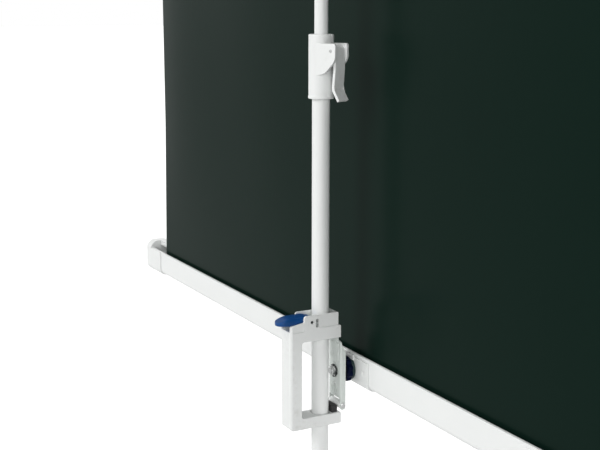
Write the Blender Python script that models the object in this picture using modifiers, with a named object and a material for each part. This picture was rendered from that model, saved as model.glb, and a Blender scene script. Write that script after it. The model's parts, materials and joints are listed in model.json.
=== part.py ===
"""Tripod projection screen: a fabric screen that pulls up out of a case carried on a telescopic mast.

Metres, +Z up, the floor at Z = 0. The audience is on the -Y side and the mast stands behind the screen.
The origin is the middle of the footprint on the floor. Every sub-part is placed from the mast's axis.
"""

import math

import bmesh
import bpy
from mathutils import Vector

# Fits and cuts
SEAT = 0.0003
OVERRUN = 0.004
WELD = 0.000001
FLAT_ANGLE = math.radians(0.5)
BEVEL_ANGLE = math.radians(35)

# Facets of round pieces
TUBE_STEPS = 24
BOSS_STEPS = 20
PIN_STEPS = 12
ARC_STEPS = 3
WIDE_ARC_STEPS = 6

# Screen
FABRIC_WIDTH = 1.516
FABRIC_DROP = 1.140
FABRIC_THICK = 0.0005
RIM_HEIGHT = 1.120

# Mast: the outer tube and the extension that slides in it
TUBE_RADIUS = 0.0125
TUBE_WALL = 0.0012
TUBE_BOTTOM = 0.050
MAST_RADIUS = 0.0095
MAST_WALL = 0.0010
MAST_OVERLAP = 0.130
BUSH_LENGTH = 0.030
BUSH_LIP = 0.002
PLUG_DEPTH = 0.020
PLUG_LIP = 0.004

# Tripod
LEG_ANGLE = math.radians(60)
LEG_LENGTH = 0.500
LEG_DEPTH = 0.018
LEG_WIDTH = 0.012
LEG_WALL = 0.0012
LEG_CORNER = 0.003
LEG_HEAD = 0.0045
LEG_PIVOT_RADIUS = 0.034
LEG_END_HEIGHT = 0.015
LEG_COUNT = 3
STRUT_ON_LEG = 0.230
STRUT_WIDTH = 0.012
STRUT_THICK = 0.003
STRUT_PIN_RADIUS = 0.0020
STRUT_PIN_LENGTH = 0.0120
RUNNER_WALL = 0.0050
RUNNER_HEIGHT = 0.034
HUB_RADIUS = 0.0235
HUB_HEIGHT = 0.026
HUB_PIVOT_RADIUS = 0.018
HUB_PIVOT_HEIGHT = 0.075
HUB_EDGE = 0.0015
EAR_THICK = 0.004
EAR_RADIUS = 0.009
RIVET_RADIUS = 0.0025
RIVET_HEAD_RADIUS = 0.0042
RIVET_HEAD = 0.0015
FOOT_WALL = 0.003
FOOT_SOCKET = 0.022
FOOT_SOLE = 0.022
FOOT_CORNER = 0.005
FOOT_EDGE = 0.001

# Flip lock: a split collar, with a cam lever between two cheeks
LOCK_ABOVE_RIM = 0.373
LOCK_HEIGHT = 0.088
LOCK_RADIUS = 0.0175
LOCK_YAW = math.radians(207)
LOCK_SOCKET = 0.045
LOCK_LIP = 0.0010
LOCK_BEAD = 0.0030
LOCK_SLIT = 0.002
CHEEK_REACH = 0.0342
CHEEK_BOTTOM = 0.031
CHEEK_TOP = 0.076
CHEEK_INNER = 0.0122
CHEEK_THICK = 0.0050
CHEEK_ROUND = 0.003
CHEEK_SWELL = 0.0045
LEVER_PIVOT_OUT = 0.0265
LEVER_PIVOT_UP = 0.066
LEVER_PIN_RADIUS = 0.0018
CAM_RADIUS = 0.0058
CAM_OFFSET = 0.0008
LEVER_THICK = 0.0040
LEVER_KNEE_UP = 0.041
LEVER_KNEE_OUT = 0.0277
LEVER_BEND_UP = 0.013
LEVER_BEND_OUT = 0.0253
LEVER_TIP_DOWN = 0.003
LEVER_TIP_OUT = 0.0345
PAD_WIDTH = 0.010
PAD_HEIGHT = 0.009

# Carriage handle, heights from the case's rim
HANDLE_WIDTH = 0.031
HANDLE_EDGE = 0.0022
GRIP_BACK = 0.0565
GRIP_FRONT = 0.0375
GRIP_ROUND = 0.006
HANDLE_BOTTOM = -0.100
WINDOW_BOTTOM = -0.0835
WINDOW_TOP = 0.030
WINDOW_ROUND = 0.003
ARM_FRONT = -0.027
COLLAR_FRONT = -0.026
COLLAR_STEP = 0.048
COLLAR_TOP_FRONT = -0.022
COLLAR_TOP = 0.068
CHEEK_BACK_TOP = 0.028
CHEEK_FOOT_BACK = 0.033
CHEEK_FOOT_TOP = 0.0584
GRIP_TOP = 0.0548
HANDLE_ROUND = 0.002
BORE_SIDE = 0.0262
BORE_ROUND = 0.008
CHANNEL_HALF = 0.0124
CHANNEL_FLOOR = 0.047
CHANNEL_FRONT = 0.0100
BRAKE_PIVOT_BACK = 0.0216
BRAKE_PIVOT_UP = 0.058
BRAKE_PIN_RADIUS = 0.0018
BRAKE_PIN_LENGTH = 0.0290
BRAKE_HALF_WIDTH = 0.0118
BRAKE_TOP = 0.0668
BRAKE_TIP = 0.0715
BRAKE_TIP_ROUND = 0.009
BRAKE_TIP_TOP = 0.0610
BRAKE_TIP_BOTTOM = 0.0560
BRAKE_EDGE = 0.0012
BRAKE_BEND = 0.010
BRAKE_SWEEP = 0.030
BRAKE_UNDER = 0.0526
NOSE_TOP = 0.0640
NOSE_BOTTOM = 0.0610
NOSE_RELIEF = 0.0008
NOSE_RELIEF_BOTTOM = 0.0570
NOSE_HEEL = 0.0505
NOSE_HEEL_BACK = 0.0206
SHOE_BACK = 0.0176
SHOE_TOP = 0.064
TRUNNION_BACK = 0.0132
TRUNNION_UP = 0.056
TRUNNION_RADIUS = 0.0018
TRUNNION_LENGTH = 0.0045
TRUNNION_REACH = 0.0027
SLOT_WIDTH = 0.0046
SLOT_HEIGHT = 0.0130
SPRING_BACK = 0.042
SPRING_TOP = 0.0528
SPRING_RADIUS = 0.0032
SPRING_WIRE = 0.0004
SPRING_TURNS = 3
SPRING_POINTS = 10

# Pivot bracket between the carriage and the case
BRACKET_THICK = 0.002
BRACKET_BACK = -0.024
BRACKET_HALF = 0.0175
BRACKET_FRONT = -0.0327
BRACKET_BEND = 0.003
WEB_TOP = 0.024
WEB_BOTTOM = -0.066
FLANGE_BOTTOM = -0.080
WEB_CORNER = 0.006
TONGUE_HALF = 0.0087
TONGUE_TOP = 0.0455
PANEL_HALF = 0.0125
PANEL_TOP = 0.020
PANEL_BOTTOM = -0.006
PANEL_RAISE = 0.001
BRACKET_SCREW_RADIUS = 0.0016
BRACKET_SCREW_HEAD_RADIUS = 0.0030
BRACKET_SCREW_HEAD = 0.0018
BRACKET_SCREW_LENGTH = 0.0095
BRACKET_SCREW_SIDE = 0.0048
BRACKET_SCREW_UP = 0.038
FLANGE_ROUND = 0.0039
WEB_HOLE_RADIUS = 0.0022
WEB_HOLE_UP = -0.043
SPACER_RADIUS = 0.0055
SPACER_UP = -0.0735
PIVOT_DROP = 0.024
PIVOT_RADIUS = 0.0040
PIVOT_BORE = 0.0043
NUT_RADIUS = 0.0095
NUT_FLANGE = 0.0022
NUT_HEX = 0.0070
NUT_DEPTH = 0.0067
BOLT_HEAD_RADIUS = 0.0080
BOLT_HEAD = 0.0030
SLEEVE_RADIUS = 0.0065
KNOB_RADIUS = 0.0190
KNOB_BACK = -0.0380
KNOB_FRONT = -0.0457
KNOB_LOBES = 10
KNOB_SCALLOP = 0.0025
KNOB_DIP_SHARES = (0, 0.1, 1)
KNOB_EDGE = 0.0010

# Case, its section measured forward from the back face and up from the back rim
CASE_BACK = -0.052
CASE_DEPTH = 0.052
CASE_DROP = 0.046
CASE_RISE = 0.011
CASE_WALL = 0.0016
CASE_BEYOND = 0.021
CASE_BACK_CORNER = 0.010
CASE_FRONT_CORNER = 0.018
CASE_HOOD = 0.024
SLOT_DEPTH = 0.020
RIM_HEM = 0.004
RIM_BEND = 0.0017
LIP_DROP = 0.007
LIP_BEND = 0.0030
CAP_WALL = 0.0025
CAP_OVERLAP = 0.051
CAP_BEYOND = 0.026
CAP_SHOULDER = 0.017
CAP_DOME = 0.0045
CAP_DOME_STEPS = 3
CRADLE_HALF = 0.050
CRADLE_THICK = 0.0018
CRADLE_TOP = -0.005
CRADLE_FRONT_TOP = -0.016
BOSS_RADIUS = 0.0205
BOSS_BACK = -0.0460
BOSS_EDGE = 0.001
LUG_HALF = 0.013
LUG_BACK = -0.0475
LUG_TOP = -0.001
LUG_HEIGHT = 0.008
CRADLE_RIVET_X = 0.036
CRADLE_RIVET_DROP = 0.022

# Spring roller
ROLLER_RADIUS = 0.014
ROLLER_WALL = 0.001
ROLLER_BEYOND = 0.037
ROLLER_DROP = 0.0215
WRAP_THICK = 0.001
ROLLER_FLANGE = 0.003
ROLLER_SPIGOT = 0.020
GUDGEON_RADIUS = 0.004
ROD_RADIUS = 0.004
ROD_LENGTH = 0.266
AXLE_IN_CAP = 0.010
COIL_RADIUS = 0.0085
COIL_WIRE = 0.0009
COIL_TURNS = 7
COIL_POINTS = 8
COIL_INSET = 0.046
COIL_LENGTH = 0.190

# Slat, its hanger loop, and the hook on the mast
SLAT_DEPTH = 0.022
SLAT_HEIGHT = 0.028
SLAT_WALL = 0.0015
SLAT_ROUND = 0.006
SLAT_BEYOND = 0.014
SLAT_CAP = 0.003
SLAT_CAP_EDGE = 0.00075
SLAT_SPIGOT = 0.012
LOOP_WIRE = 0.0018
LOOP_HALF = 0.022
LOOP_BACK = -0.0415
LOOP_RISE = 0.030
LOOP_NECK = 0.010
LOOP_TAIL = 0.006
LOOP_ROUND = 0.006
HOOK_WIDTH = 0.009
HOOK_TIP = -0.0485
HOOK_TIP_RISE = 0.004
HOOK_ARM = 0.007
HOOK_PLATE = 0.003
HOOK_PLATE_DROP = 0.034
HOOK_ROUND = 0.002
TOPCAP_RADIUS = 0.0130
TOPCAP_HEIGHT = 0.040
TOPCAP_ROOF = 0.005
TOPCAP_EDGE = 0.002
HOOK_SCREW_RADIUS = 0.0018
HOOK_SCREW_HEAD_RADIUS = 0.0034
HOOK_SCREW_DROP = 0.022

# Heights and places that follow from the sizes above
LOCK_BOTTOM = RIM_HEIGHT + LOCK_ABOVE_RIM
TUBE_TOP = LOCK_BOTTOM + LOCK_SOCKET - SEAT
MAST_BOTTOM = TUBE_TOP - MAST_OVERLAP
SLAT_BOTTOM = RIM_HEIGHT + FABRIC_DROP
SLAT_TOP = SLAT_BOTTOM + SLAT_HEIGHT
LOOP_TOP = SLAT_TOP + LOOP_RISE
HOOK_TROUGH = LOOP_TOP - LOOP_WIRE - SEAT
TOPCAP_TOP = LOOP_TOP + HOOK_TIP_RISE
MAST_TOP = TOPCAP_TOP - TOPCAP_ROOF - SEAT
PIVOT_HEIGHT = RIM_HEIGHT - PIVOT_DROP
FABRIC_Y = CASE_BACK - SLOT_DEPTH / 2
WRAP_RADIUS = ROLLER_RADIUS + SEAT + WRAP_THICK
ROLLER_Y = FABRIC_Y - FABRIC_THICK / 2 - SEAT - WRAP_RADIUS
ROLLER_HEIGHT = RIM_HEIGHT - ROLLER_DROP
RUNNER_PIVOT_HEIGHT = LEG_LENGTH * math.cos(LEG_ANGLE) + LEG_END_HEIGHT
STRUT_RISE = RUNNER_PIVOT_HEIGHT - STRUT_ON_LEG * math.cos(LEG_ANGLE) - HUB_PIVOT_HEIGHT
STRUT_SPREAD = LEG_PIVOT_RADIUS + STRUT_ON_LEG * math.sin(LEG_ANGLE) - HUB_PIVOT_RADIUS
STRUT_LENGTH = math.hypot(STRUT_RISE, STRUT_SPREAD)
STRUT_ANGLE = math.atan2(STRUT_SPREAD, STRUT_RISE)
STRUT_MIDDLE = LEG_WIDTH / 2 + SEAT + STRUT_THICK / 2
FOOT_SPREAD = LEG_PIVOT_RADIUS + LEG_LENGTH * math.sin(LEG_ANGLE)
MAST_Y = -FOOT_SPREAD / 4
FABRIC_HALF = FABRIC_WIDTH / 2
SLAT_HALF = FABRIC_HALF + SLAT_BEYOND
ROLLER_HALF = FABRIC_HALF + ROLLER_BEYOND
CASE_HALF = ROLLER_HALF + CASE_BEYOND
CAP_START = CASE_HALF - CAP_OVERLAP
CAP_END = CASE_HALF + CAP_BEYOND
CAP_POCKET = CASE_HALF + SEAT
AXLE_END = CASE_HALF + AXLE_IN_CAP
LEG_AZIMUTHS = [math.radians(90) + math.tau * i / LEG_COUNT for i in range(LEG_COUNT)]

# Rotations that lay an outline or a turned piece along an axis
SIDE_ON = (math.pi / 2, 0, math.pi / 2)
FACE_ON = (math.pi / 2, 0, 0)
ALONG_X = (0, math.pi / 2, 0)
ALONG_Y = (-math.pi / 2, 0, 0)

# Colours as Blender stores them, with roughness and metallic
WHITE_PAINT = ("white_paint", (0.80, 0.82, 0.80), 0.35, 0.0)
WHITE_PLASTIC = ("white_plastic", (0.76, 0.78, 0.76), 0.45, 0.0)
GREY_PLASTIC = ("grey_plastic", (0.42, 0.46, 0.44), 0.5, 0.0)
BLUE_PLASTIC = ("blue_plastic", (0.004, 0.065, 0.24), 0.4, 0.0)
NAVY_PLASTIC = ("navy_plastic", (0.004, 0.008, 0.032), 0.4, 0.0)
BLACK_FABRIC = ("black_fabric", (0.03, 0.045, 0.035), 0.85, 0.0)
BLACK_RUBBER = ("black_rubber", (0.02, 0.02, 0.02), 0.8, 0.0)
BLACK_PLASTIC = ("black_plastic", (0.03, 0.03, 0.03), 0.5, 0.0)
STEEL = ("steel", (0.55, 0.56, 0.56), 0.3, 1.0)
GREY_PAINT = ("grey_paint", (0.52, 0.56, 0.53), 0.4, 0.0)


# Scene set-up

def clear_scene():
    for item in list(bpy.data.objects):
        bpy.data.objects.remove(item, do_unlink=True)


def new_collection(name):
    made = bpy.data.collections.new(name)
    bpy.context.scene.collection.children.link(made)
    return made


clear_scene()
PARTS = new_collection("projection_screen")
CUTTERS = new_collection("cutters")
CUTTERS.hide_render = True
MATERIALS = {}


def material(spec):
    name, colour, roughness, metallic = spec
    if name not in MATERIALS:
        made = bpy.data.materials.new(name)
        made.use_nodes = True
        shader = made.node_tree.nodes["Principled BSDF"]
        shader.inputs["Base Color"].default_value = (*colour, 1)
        shader.inputs["Roughness"].default_value = roughness
        shader.inputs["Metallic"].default_value = metallic
        MATERIALS[name] = made
    return MATERIALS[name]


def empty(name, parent=None, location=(0, 0, 0), turn=0.0):
    made = bpy.data.objects.new(name, None)
    PARTS.objects.link(made)
    made.parent = parent
    made.location = location
    made.rotation_euler = (0, 0, turn)
    return made


def wrap(name, mesh, finish):
    """A mesh object among the parts, or among the cutters where it has no finish."""
    made = bpy.data.objects.new(name, mesh)
    if finish is None:
        CUTTERS.objects.link(made)
        made.display_type = "WIRE"
        made.hide_render = True
    else:
        PARTS.objects.link(made)
        mesh.materials.append(material(finish))
    return made


def put(item, parent, location=(0, 0, 0), turn=(0, 0, 0)):
    """Places an item in its parent's own axes."""
    item.parent = parent
    item.location = location
    item.rotation_euler = turn
    return item


def seat(item, carrier, location=(0, 0, 0), turn=(0, 0, 0)):
    """Places an item by its distance from the mast's foot, on a carrier that is upright."""
    origin = Vector(carrier.location) if carrier is not STAND else Vector((0, 0, 0))
    return put(item, carrier, Vector(location) - origin, turn)


# Outlines

def round_corner(before, corner, after, radius, steps):
    a, b = (before - corner).normalized(), (after - corner).normalized()
    half = a.angle(b) / 2
    centre = corner + (a + b).normalized() * radius / math.sin(half)
    start, end = a * radius / math.tan(half), b * radius / math.tan(half)
    first = math.atan2(*reversed(corner + start - centre))
    sweep = math.atan2(*reversed(corner + end - centre)) - first
    sweep = (sweep + math.pi) % math.tau - math.pi
    return [centre + Vector((math.cos(first + sweep * k / steps), math.sin(first + sweep * k / steps))) * radius
            for k in range(steps + 1)]


def rounded(corners, closed=True, steps=ARC_STEPS):
    """The outline through (x, y) or (x, y, radius) corners."""
    spots = [Vector(c[:2]) for c in corners]
    radii = [c[2] if len(c) > 2 else 0 for c in corners]
    out = []
    for i, (spot, radius) in enumerate(zip(spots, radii)):
        if radius and (closed or 0 < i < len(spots) - 1):
            out += round_corner(spots[i - 1], spot, spots[(i + 1) % len(spots)], radius, steps)
        else:
            out.append(spot)
    return out


def rectangle(half_x, half_y, radius=0.0, centre=(0, 0), steps=ARC_STEPS):
    x, y = centre
    return rounded([(x - half_x, y - half_y, radius), (x + half_x, y - half_y, radius),
                    (x + half_x, y + half_y, radius), (x - half_x, y + half_y, radius)], steps=steps)


def circle(radius, centre=(0, 0), steps=PIN_STEPS):
    return [Vector(centre) + Vector((math.cos(math.tau * k / steps), math.sin(math.tau * k / steps))) * radius
            for k in range(steps)]


def offset(path, distance):
    """An open path moved to its left."""
    out = []
    for i, spot in enumerate(path):
        sides = []
        if i:
            sides.append((spot - path[i - 1]).normalized())
        if i < len(path) - 1:
            sides.append((path[i + 1] - spot).normalized())
        lefts = [Vector((-s.y, s.x)) for s in sides]
        total = sum(lefts[1:], lefts[0])
        out.append(spot + total * distance * 2 / total.dot(total) if len(lefts) > 1
                   else spot + total * distance)
    return out


def strip(path, near, far):
    """The closed outline of a bent sheet between two offsets of one path."""
    return offset(path, near) + offset(path, far)[::-1]


# Solids

def flat(name, loops, depth, finish, dome=0.0, dome_steps=1):
    """An outline, with its holes, as a plate of the given depth, with a rounded rim on its far side."""
    curve = bpy.data.curves.new(name, "CURVE")
    curve.dimensions = "2D"
    curve.fill_mode = "BOTH"
    curve.extrude = depth / 2
    for loop in loops:
        spline = curve.splines.new("POLY")
        spline.points.add(len(loop) - 1)
        for point, spot in zip(spline.points, loop):
            point.co = (spot[0], spot[1], 0, 1)
        spline.use_cyclic_u = True
    holder = bpy.data.objects.new(name, curve)
    bpy.context.scene.collection.objects.link(holder)
    graph = bpy.context.evaluated_depsgraph_get()
    mesh = bpy.data.meshes.new_from_object(holder.evaluated_get(graph))
    bpy.data.objects.remove(holder, do_unlink=True)
    bpy.data.curves.remove(curve)
    work = bmesh.new()
    work.from_mesh(mesh)
    bmesh.ops.remove_doubles(work, verts=work.verts, dist=WELD)
    bmesh.ops.dissolve_limit(work, angle_limit=FLAT_ANGLE, verts=work.verts, edges=work.edges)
    if dome:
        rim = [e for e in work.edges if all(v.co.z > depth / 2 - WELD for v in e.verts)]
        bmesh.ops.bevel(work, geom=rim, offset=dome, segments=dome_steps, profile=0.5, affect="EDGES")
    bmesh.ops.recalc_face_normals(work, faces=work.faces)
    work.to_mesh(mesh)
    work.free()
    mesh.name = name
    return wrap(name, mesh, finish)


def block(name, low, high, finish, edge=0.0, edge_steps=1):
    """A box between two corners, whose origin is its middle."""
    low, high = Vector(low), Vector(high)
    work = bmesh.new()
    bmesh.ops.create_cube(work, size=1)
    bmesh.ops.scale(work, vec=high - low, verts=work.verts)
    mesh = bpy.data.meshes.new(name)
    work.to_mesh(mesh)
    work.free()
    made = wrap(name, mesh, finish)
    if edge:
        soften(made, edge, edge_steps)
    return made


def box_at(name, low, high, finish, carrier, edge=0.0, edge_steps=1):
    """A box given by its corners from the mast's foot."""
    made = block(name, low, high, finish, edge, edge_steps)
    return seat(made, carrier, (Vector(low) + Vector(high)) / 2)


def turned(name, profile, finish, steps=BOSS_STEPS, closed=False):
    """A profile of (radius, height) points, top to bottom on its outer side, turned about Z."""
    mesh = bpy.data.meshes.new(name)
    count = len(profile)
    edges = [(i, i + 1) for i in range(count - 1)] + ([(count - 1, 0)] if closed else [])
    mesh.from_pydata([(r, 0, z) for r, z in profile], edges, [])
    made = wrap(name, mesh, finish)
    screw = made.modifiers.new("turn", "SCREW")
    screw.angle = math.tau
    screw.steps = screw.render_steps = steps
    screw.use_merge_vertices = True
    screw.merge_threshold = WELD
    screw.use_smooth_shade = False
    return made


def rod(name, radius, length, finish, steps=PIN_STEPS, edge=0.0):
    """A plain round bar about Z, centred on its origin."""
    work = bmesh.new()
    bmesh.ops.create_cone(work, cap_ends=True, segments=steps, radius1=radius, radius2=radius, depth=length)
    mesh = bpy.data.meshes.new(name)
    work.to_mesh(mesh)
    work.free()
    made = wrap(name, mesh, finish)
    return soften(made, edge) if edge else made


def ring(name, outer, inner, length, finish, steps=BOSS_STEPS):
    """A plain tube about Z, centred on its origin."""
    top = length / 2
    return turned(name, [(outer, top), (outer, -top), (inner, -top), (inner, top)], finish, steps, closed=True)


def rivet(name, shank, length, head_radius, head, finish, ends=2):
    """A round bar with a chamfered head on its upper end, and one on its lower end if it has two."""
    top, low = length / 2, -length / 2
    profile = [(0, top + head), (head_radius / 2, top + head), (head_radius, top + head / 3),
               (head_radius, top), (shank, top)]
    if ends == 2:
        profile += [(r, -z) for r, z in profile[::-1]]
    else:
        profile += [(shank, low), (0, low)]
    return turned(name, profile, finish, PIN_STEPS)


def wire(name, spots, radius, finish, resolution=1):
    """A round wire through the given points, made a closed mesh."""
    curve = bpy.data.curves.new(name, "CURVE")
    curve.dimensions = "3D"
    curve.bevel_depth = radius
    curve.bevel_resolution = resolution
    curve.use_fill_caps = True
    spline = curve.splines.new("POLY")
    spline.points.add(len(spots) - 1)
    for point, spot in zip(spline.points, spots):
        point.co = (*spot, 1)
    holder = bpy.data.objects.new(name, curve)
    bpy.context.scene.collection.objects.link(holder)
    graph = bpy.context.evaluated_depsgraph_get()
    mesh = bpy.data.meshes.new_from_object(holder.evaluated_get(graph))
    bpy.data.objects.remove(holder, do_unlink=True)
    bpy.data.curves.remove(curve)
    work = bmesh.new()
    work.from_mesh(mesh)
    bmesh.ops.remove_doubles(work, verts=work.verts, dist=WELD)
    bmesh.ops.recalc_face_normals(work, faces=work.faces)
    work.to_mesh(mesh)
    work.free()
    return wrap(name, mesh, finish)


def print_least_gap(name, spots, radius, turn):
    """Prints how near a coil comes to itself, from point to point, beyond half a turn along it."""
    spots = [Vector(s) for s in spots]
    least = min((a - b).length for i, a in enumerate(spots) for b in spots[i + turn // 2 + 1:])
    print(f"{name}: least gap to itself {(least - radius * 2) * 1000:.2f} mm")


def soften(item, width, steps=1):
    bevel = item.modifiers.new("edges", "BEVEL")
    bevel.width = width
    bevel.segments = steps
    bevel.limit_method = "ANGLE"
    bevel.angle_limit = BEVEL_ANGLE
    return item


def combine(item, tool, operation):
    step = item.modifiers.new(tool.name, "BOOLEAN")
    step.operation = operation
    step.solver = "EXACT"
    step.object = tool
    return item


def cut(item, *tools):
    for tool in tools:
        combine(item, tool, "DIFFERENCE")
    return item


def join(item, *tools):
    for tool in tools:
        combine(item, tool, "UNION")
    return item


# Mast

def outer_tube():
    length = TUBE_TOP - TUBE_BOTTOM
    tube = ring("outer_tube", TUBE_RADIUS, TUBE_RADIUS - TUBE_WALL, length, WHITE_PAINT, TUBE_STEPS)
    seat(tube, STAND, (0, 0, TUBE_BOTTOM + length / 2))
    plug_radius = TUBE_RADIUS - TUBE_WALL - SEAT
    plug = turned("tube_end_plug", [(0, PLUG_DEPTH), (plug_radius, PLUG_DEPTH), (plug_radius, 0),
                                    (TUBE_RADIUS, 0), (TUBE_RADIUS, -PLUG_LIP / 2),
                                    (TUBE_RADIUS - PLUG_LIP / 2, -PLUG_LIP), (0, -PLUG_LIP)],
                  BLACK_PLASTIC, TUBE_STEPS)
    seat(plug, STAND, (0, 0, TUBE_BOTTOM - SEAT))


def extension_mast():
    carrier = empty("mast_axis", STAND, (0, 0, MAST_BOTTOM))
    length = MAST_TOP - MAST_BOTTOM
    tube = ring("extension_tube", MAST_RADIUS, MAST_RADIUS - MAST_WALL, length, WHITE_PAINT, TUBE_STEPS)
    seat(tube, carrier, (0, 0, MAST_BOTTOM + length / 2))
    bush_outer = TUBE_RADIUS - TUBE_WALL - SEAT
    bush_inner = MAST_RADIUS + SEAT
    foot = MAST_RADIUS - MAST_WALL
    bush = turned("mast_guide_bush", [(bush_outer, BUSH_LENGTH), (bush_outer, -BUSH_LIP), (foot, -BUSH_LIP),
                                      (foot, -SEAT), (bush_inner, -SEAT), (bush_inner, BUSH_LENGTH)],
                  BLACK_PLASTIC, TUBE_STEPS, closed=True)
    seat(bush, carrier, (0, 0, MAST_BOTTOM))
    cap_bore = MAST_RADIUS + SEAT
    top = TOPCAP_TOP - MAST_BOTTOM
    cap = turned("mast_top_cap", [(0, top), (TOPCAP_RADIUS - TOPCAP_EDGE, top), (TOPCAP_RADIUS, top - TOPCAP_EDGE),
                                  (TOPCAP_RADIUS, top - TOPCAP_HEIGHT), (cap_bore, top - TOPCAP_HEIGHT),
                                  (cap_bore, top - TOPCAP_ROOF), (0, top - TOPCAP_ROOF)],
                 WHITE_PLASTIC, TUBE_STEPS)
    put(cap, carrier)
    hook_plate_back = -TOPCAP_RADIUS - SEAT
    screw_height = TOPCAP_TOP - HOOK_SCREW_DROP
    screw_tip = -MAST_RADIUS - SEAT * 2
    hole = rod("hook_screw_bore", HOOK_SCREW_RADIUS + SEAT, TOPCAP_RADIUS, None)
    seat(hole, carrier, (0, -TOPCAP_RADIUS, screw_height), ALONG_Y)
    cut(cap, hole)
    hook_screw_length = hook_plate_back - HOOK_PLATE - SEAT
    screw = rivet("hook_screw", HOOK_SCREW_RADIUS, screw_tip - hook_screw_length, HOOK_SCREW_HEAD_RADIUS,
                  HOOK_SCREW_RADIUS, STEEL, ends=1)
    seat(screw, carrier, (0, (screw_tip + hook_screw_length) / 2, screw_height), (math.pi / 2, 0, 0))
    hanger_hook(carrier, hook_plate_back, hole)
    return carrier


def hanger_hook(carrier, plate_back, hole):
    """A flat steel hook in the mast's middle plane: a plate down the cap, an arm, and a raised tip."""
    plate_front = plate_back - HOOK_PLATE
    low = HOOK_TROUGH - HOOK_ARM
    half_trough = LOOP_WIRE + SEAT * 2
    outline = rounded([
        (plate_back, HOOK_TROUGH + HOOK_TIP_RISE / 2, HOOK_ROUND), (plate_back, TOPCAP_TOP - HOOK_PLATE_DROP),
        (plate_front, TOPCAP_TOP - HOOK_PLATE_DROP), (plate_front, low, HOOK_ROUND),
        (HOOK_TIP, low, HOOK_ARM / 2), (HOOK_TIP, HOOK_TROUGH + HOOK_TIP_RISE, HOOK_ROUND / 2),
        (LOOP_BACK - half_trough - HOOK_ROUND / 2, HOOK_TROUGH + HOOK_TIP_RISE, HOOK_ROUND / 2),
        (LOOP_BACK - half_trough, HOOK_TROUGH), (LOOP_BACK + half_trough, HOOK_TROUGH),
        (LOOP_BACK + half_trough * 2, HOOK_TROUGH + HOOK_TIP_RISE / 2, HOOK_ROUND / 2)])
    hook = flat("hanger_hook", [outline], HOOK_WIDTH, WHITE_PAINT)
    seat(hook, carrier, turn=SIDE_ON)
    cut(hook, hole)


# Tripod

def tripod():
    hub = hub_body()
    slide = empty("runner_axis", STAND, (0, 0, RUNNER_PIVOT_HEIGHT))
    outer = TUBE_RADIUS + RUNNER_WALL
    bore = TUBE_RADIUS + SEAT
    top = RUNNER_HEIGHT / 2
    runner = turned("tripod_runner", [(outer - HUB_EDGE, top), (outer, top - HUB_EDGE), (outer, HUB_EDGE - top),
                                      (outer - HUB_EDGE, -top), (bore, -top), (bore, top)],
                    WHITE_PLASTIC, TUBE_STEPS, closed=True)
    put(runner, slide)
    floor = box_at("floor_cutter", (-FOOT_SPREAD * 2, -FOOT_SPREAD * 2, -FOOT_SPREAD),
                   (FOOT_SPREAD * 2, FOOT_SPREAD * 2, 0), None, STAND)
    for number, azimuth in enumerate(LEG_AZIMUTHS, 1):
        strut(number, azimuth, hub)
        leg(number, azimuth, runner, slide, floor)


def hub_body():
    bore = TUBE_RADIUS + SEAT
    top = HUB_HEIGHT / 2
    hub = turned("tripod_hub", [(HUB_RADIUS - HUB_EDGE, top), (HUB_RADIUS, top - HUB_EDGE),
                                (HUB_RADIUS, HUB_EDGE - top), (HUB_RADIUS - HUB_EDGE, -top), (bore, -top), (bore, top)],
                 WHITE_PLASTIC, TUBE_STEPS, closed=True)
    return seat(hub, STAND, (0, 0, HUB_PIVOT_HEIGHT))


def ear_outline(inner, reach, half):
    """A lug seen from its side: straight from the hub, with a round end."""
    return rounded([(inner, -half), (reach + half, -half, half), (reach + half, half, half), (inner, half)])


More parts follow.
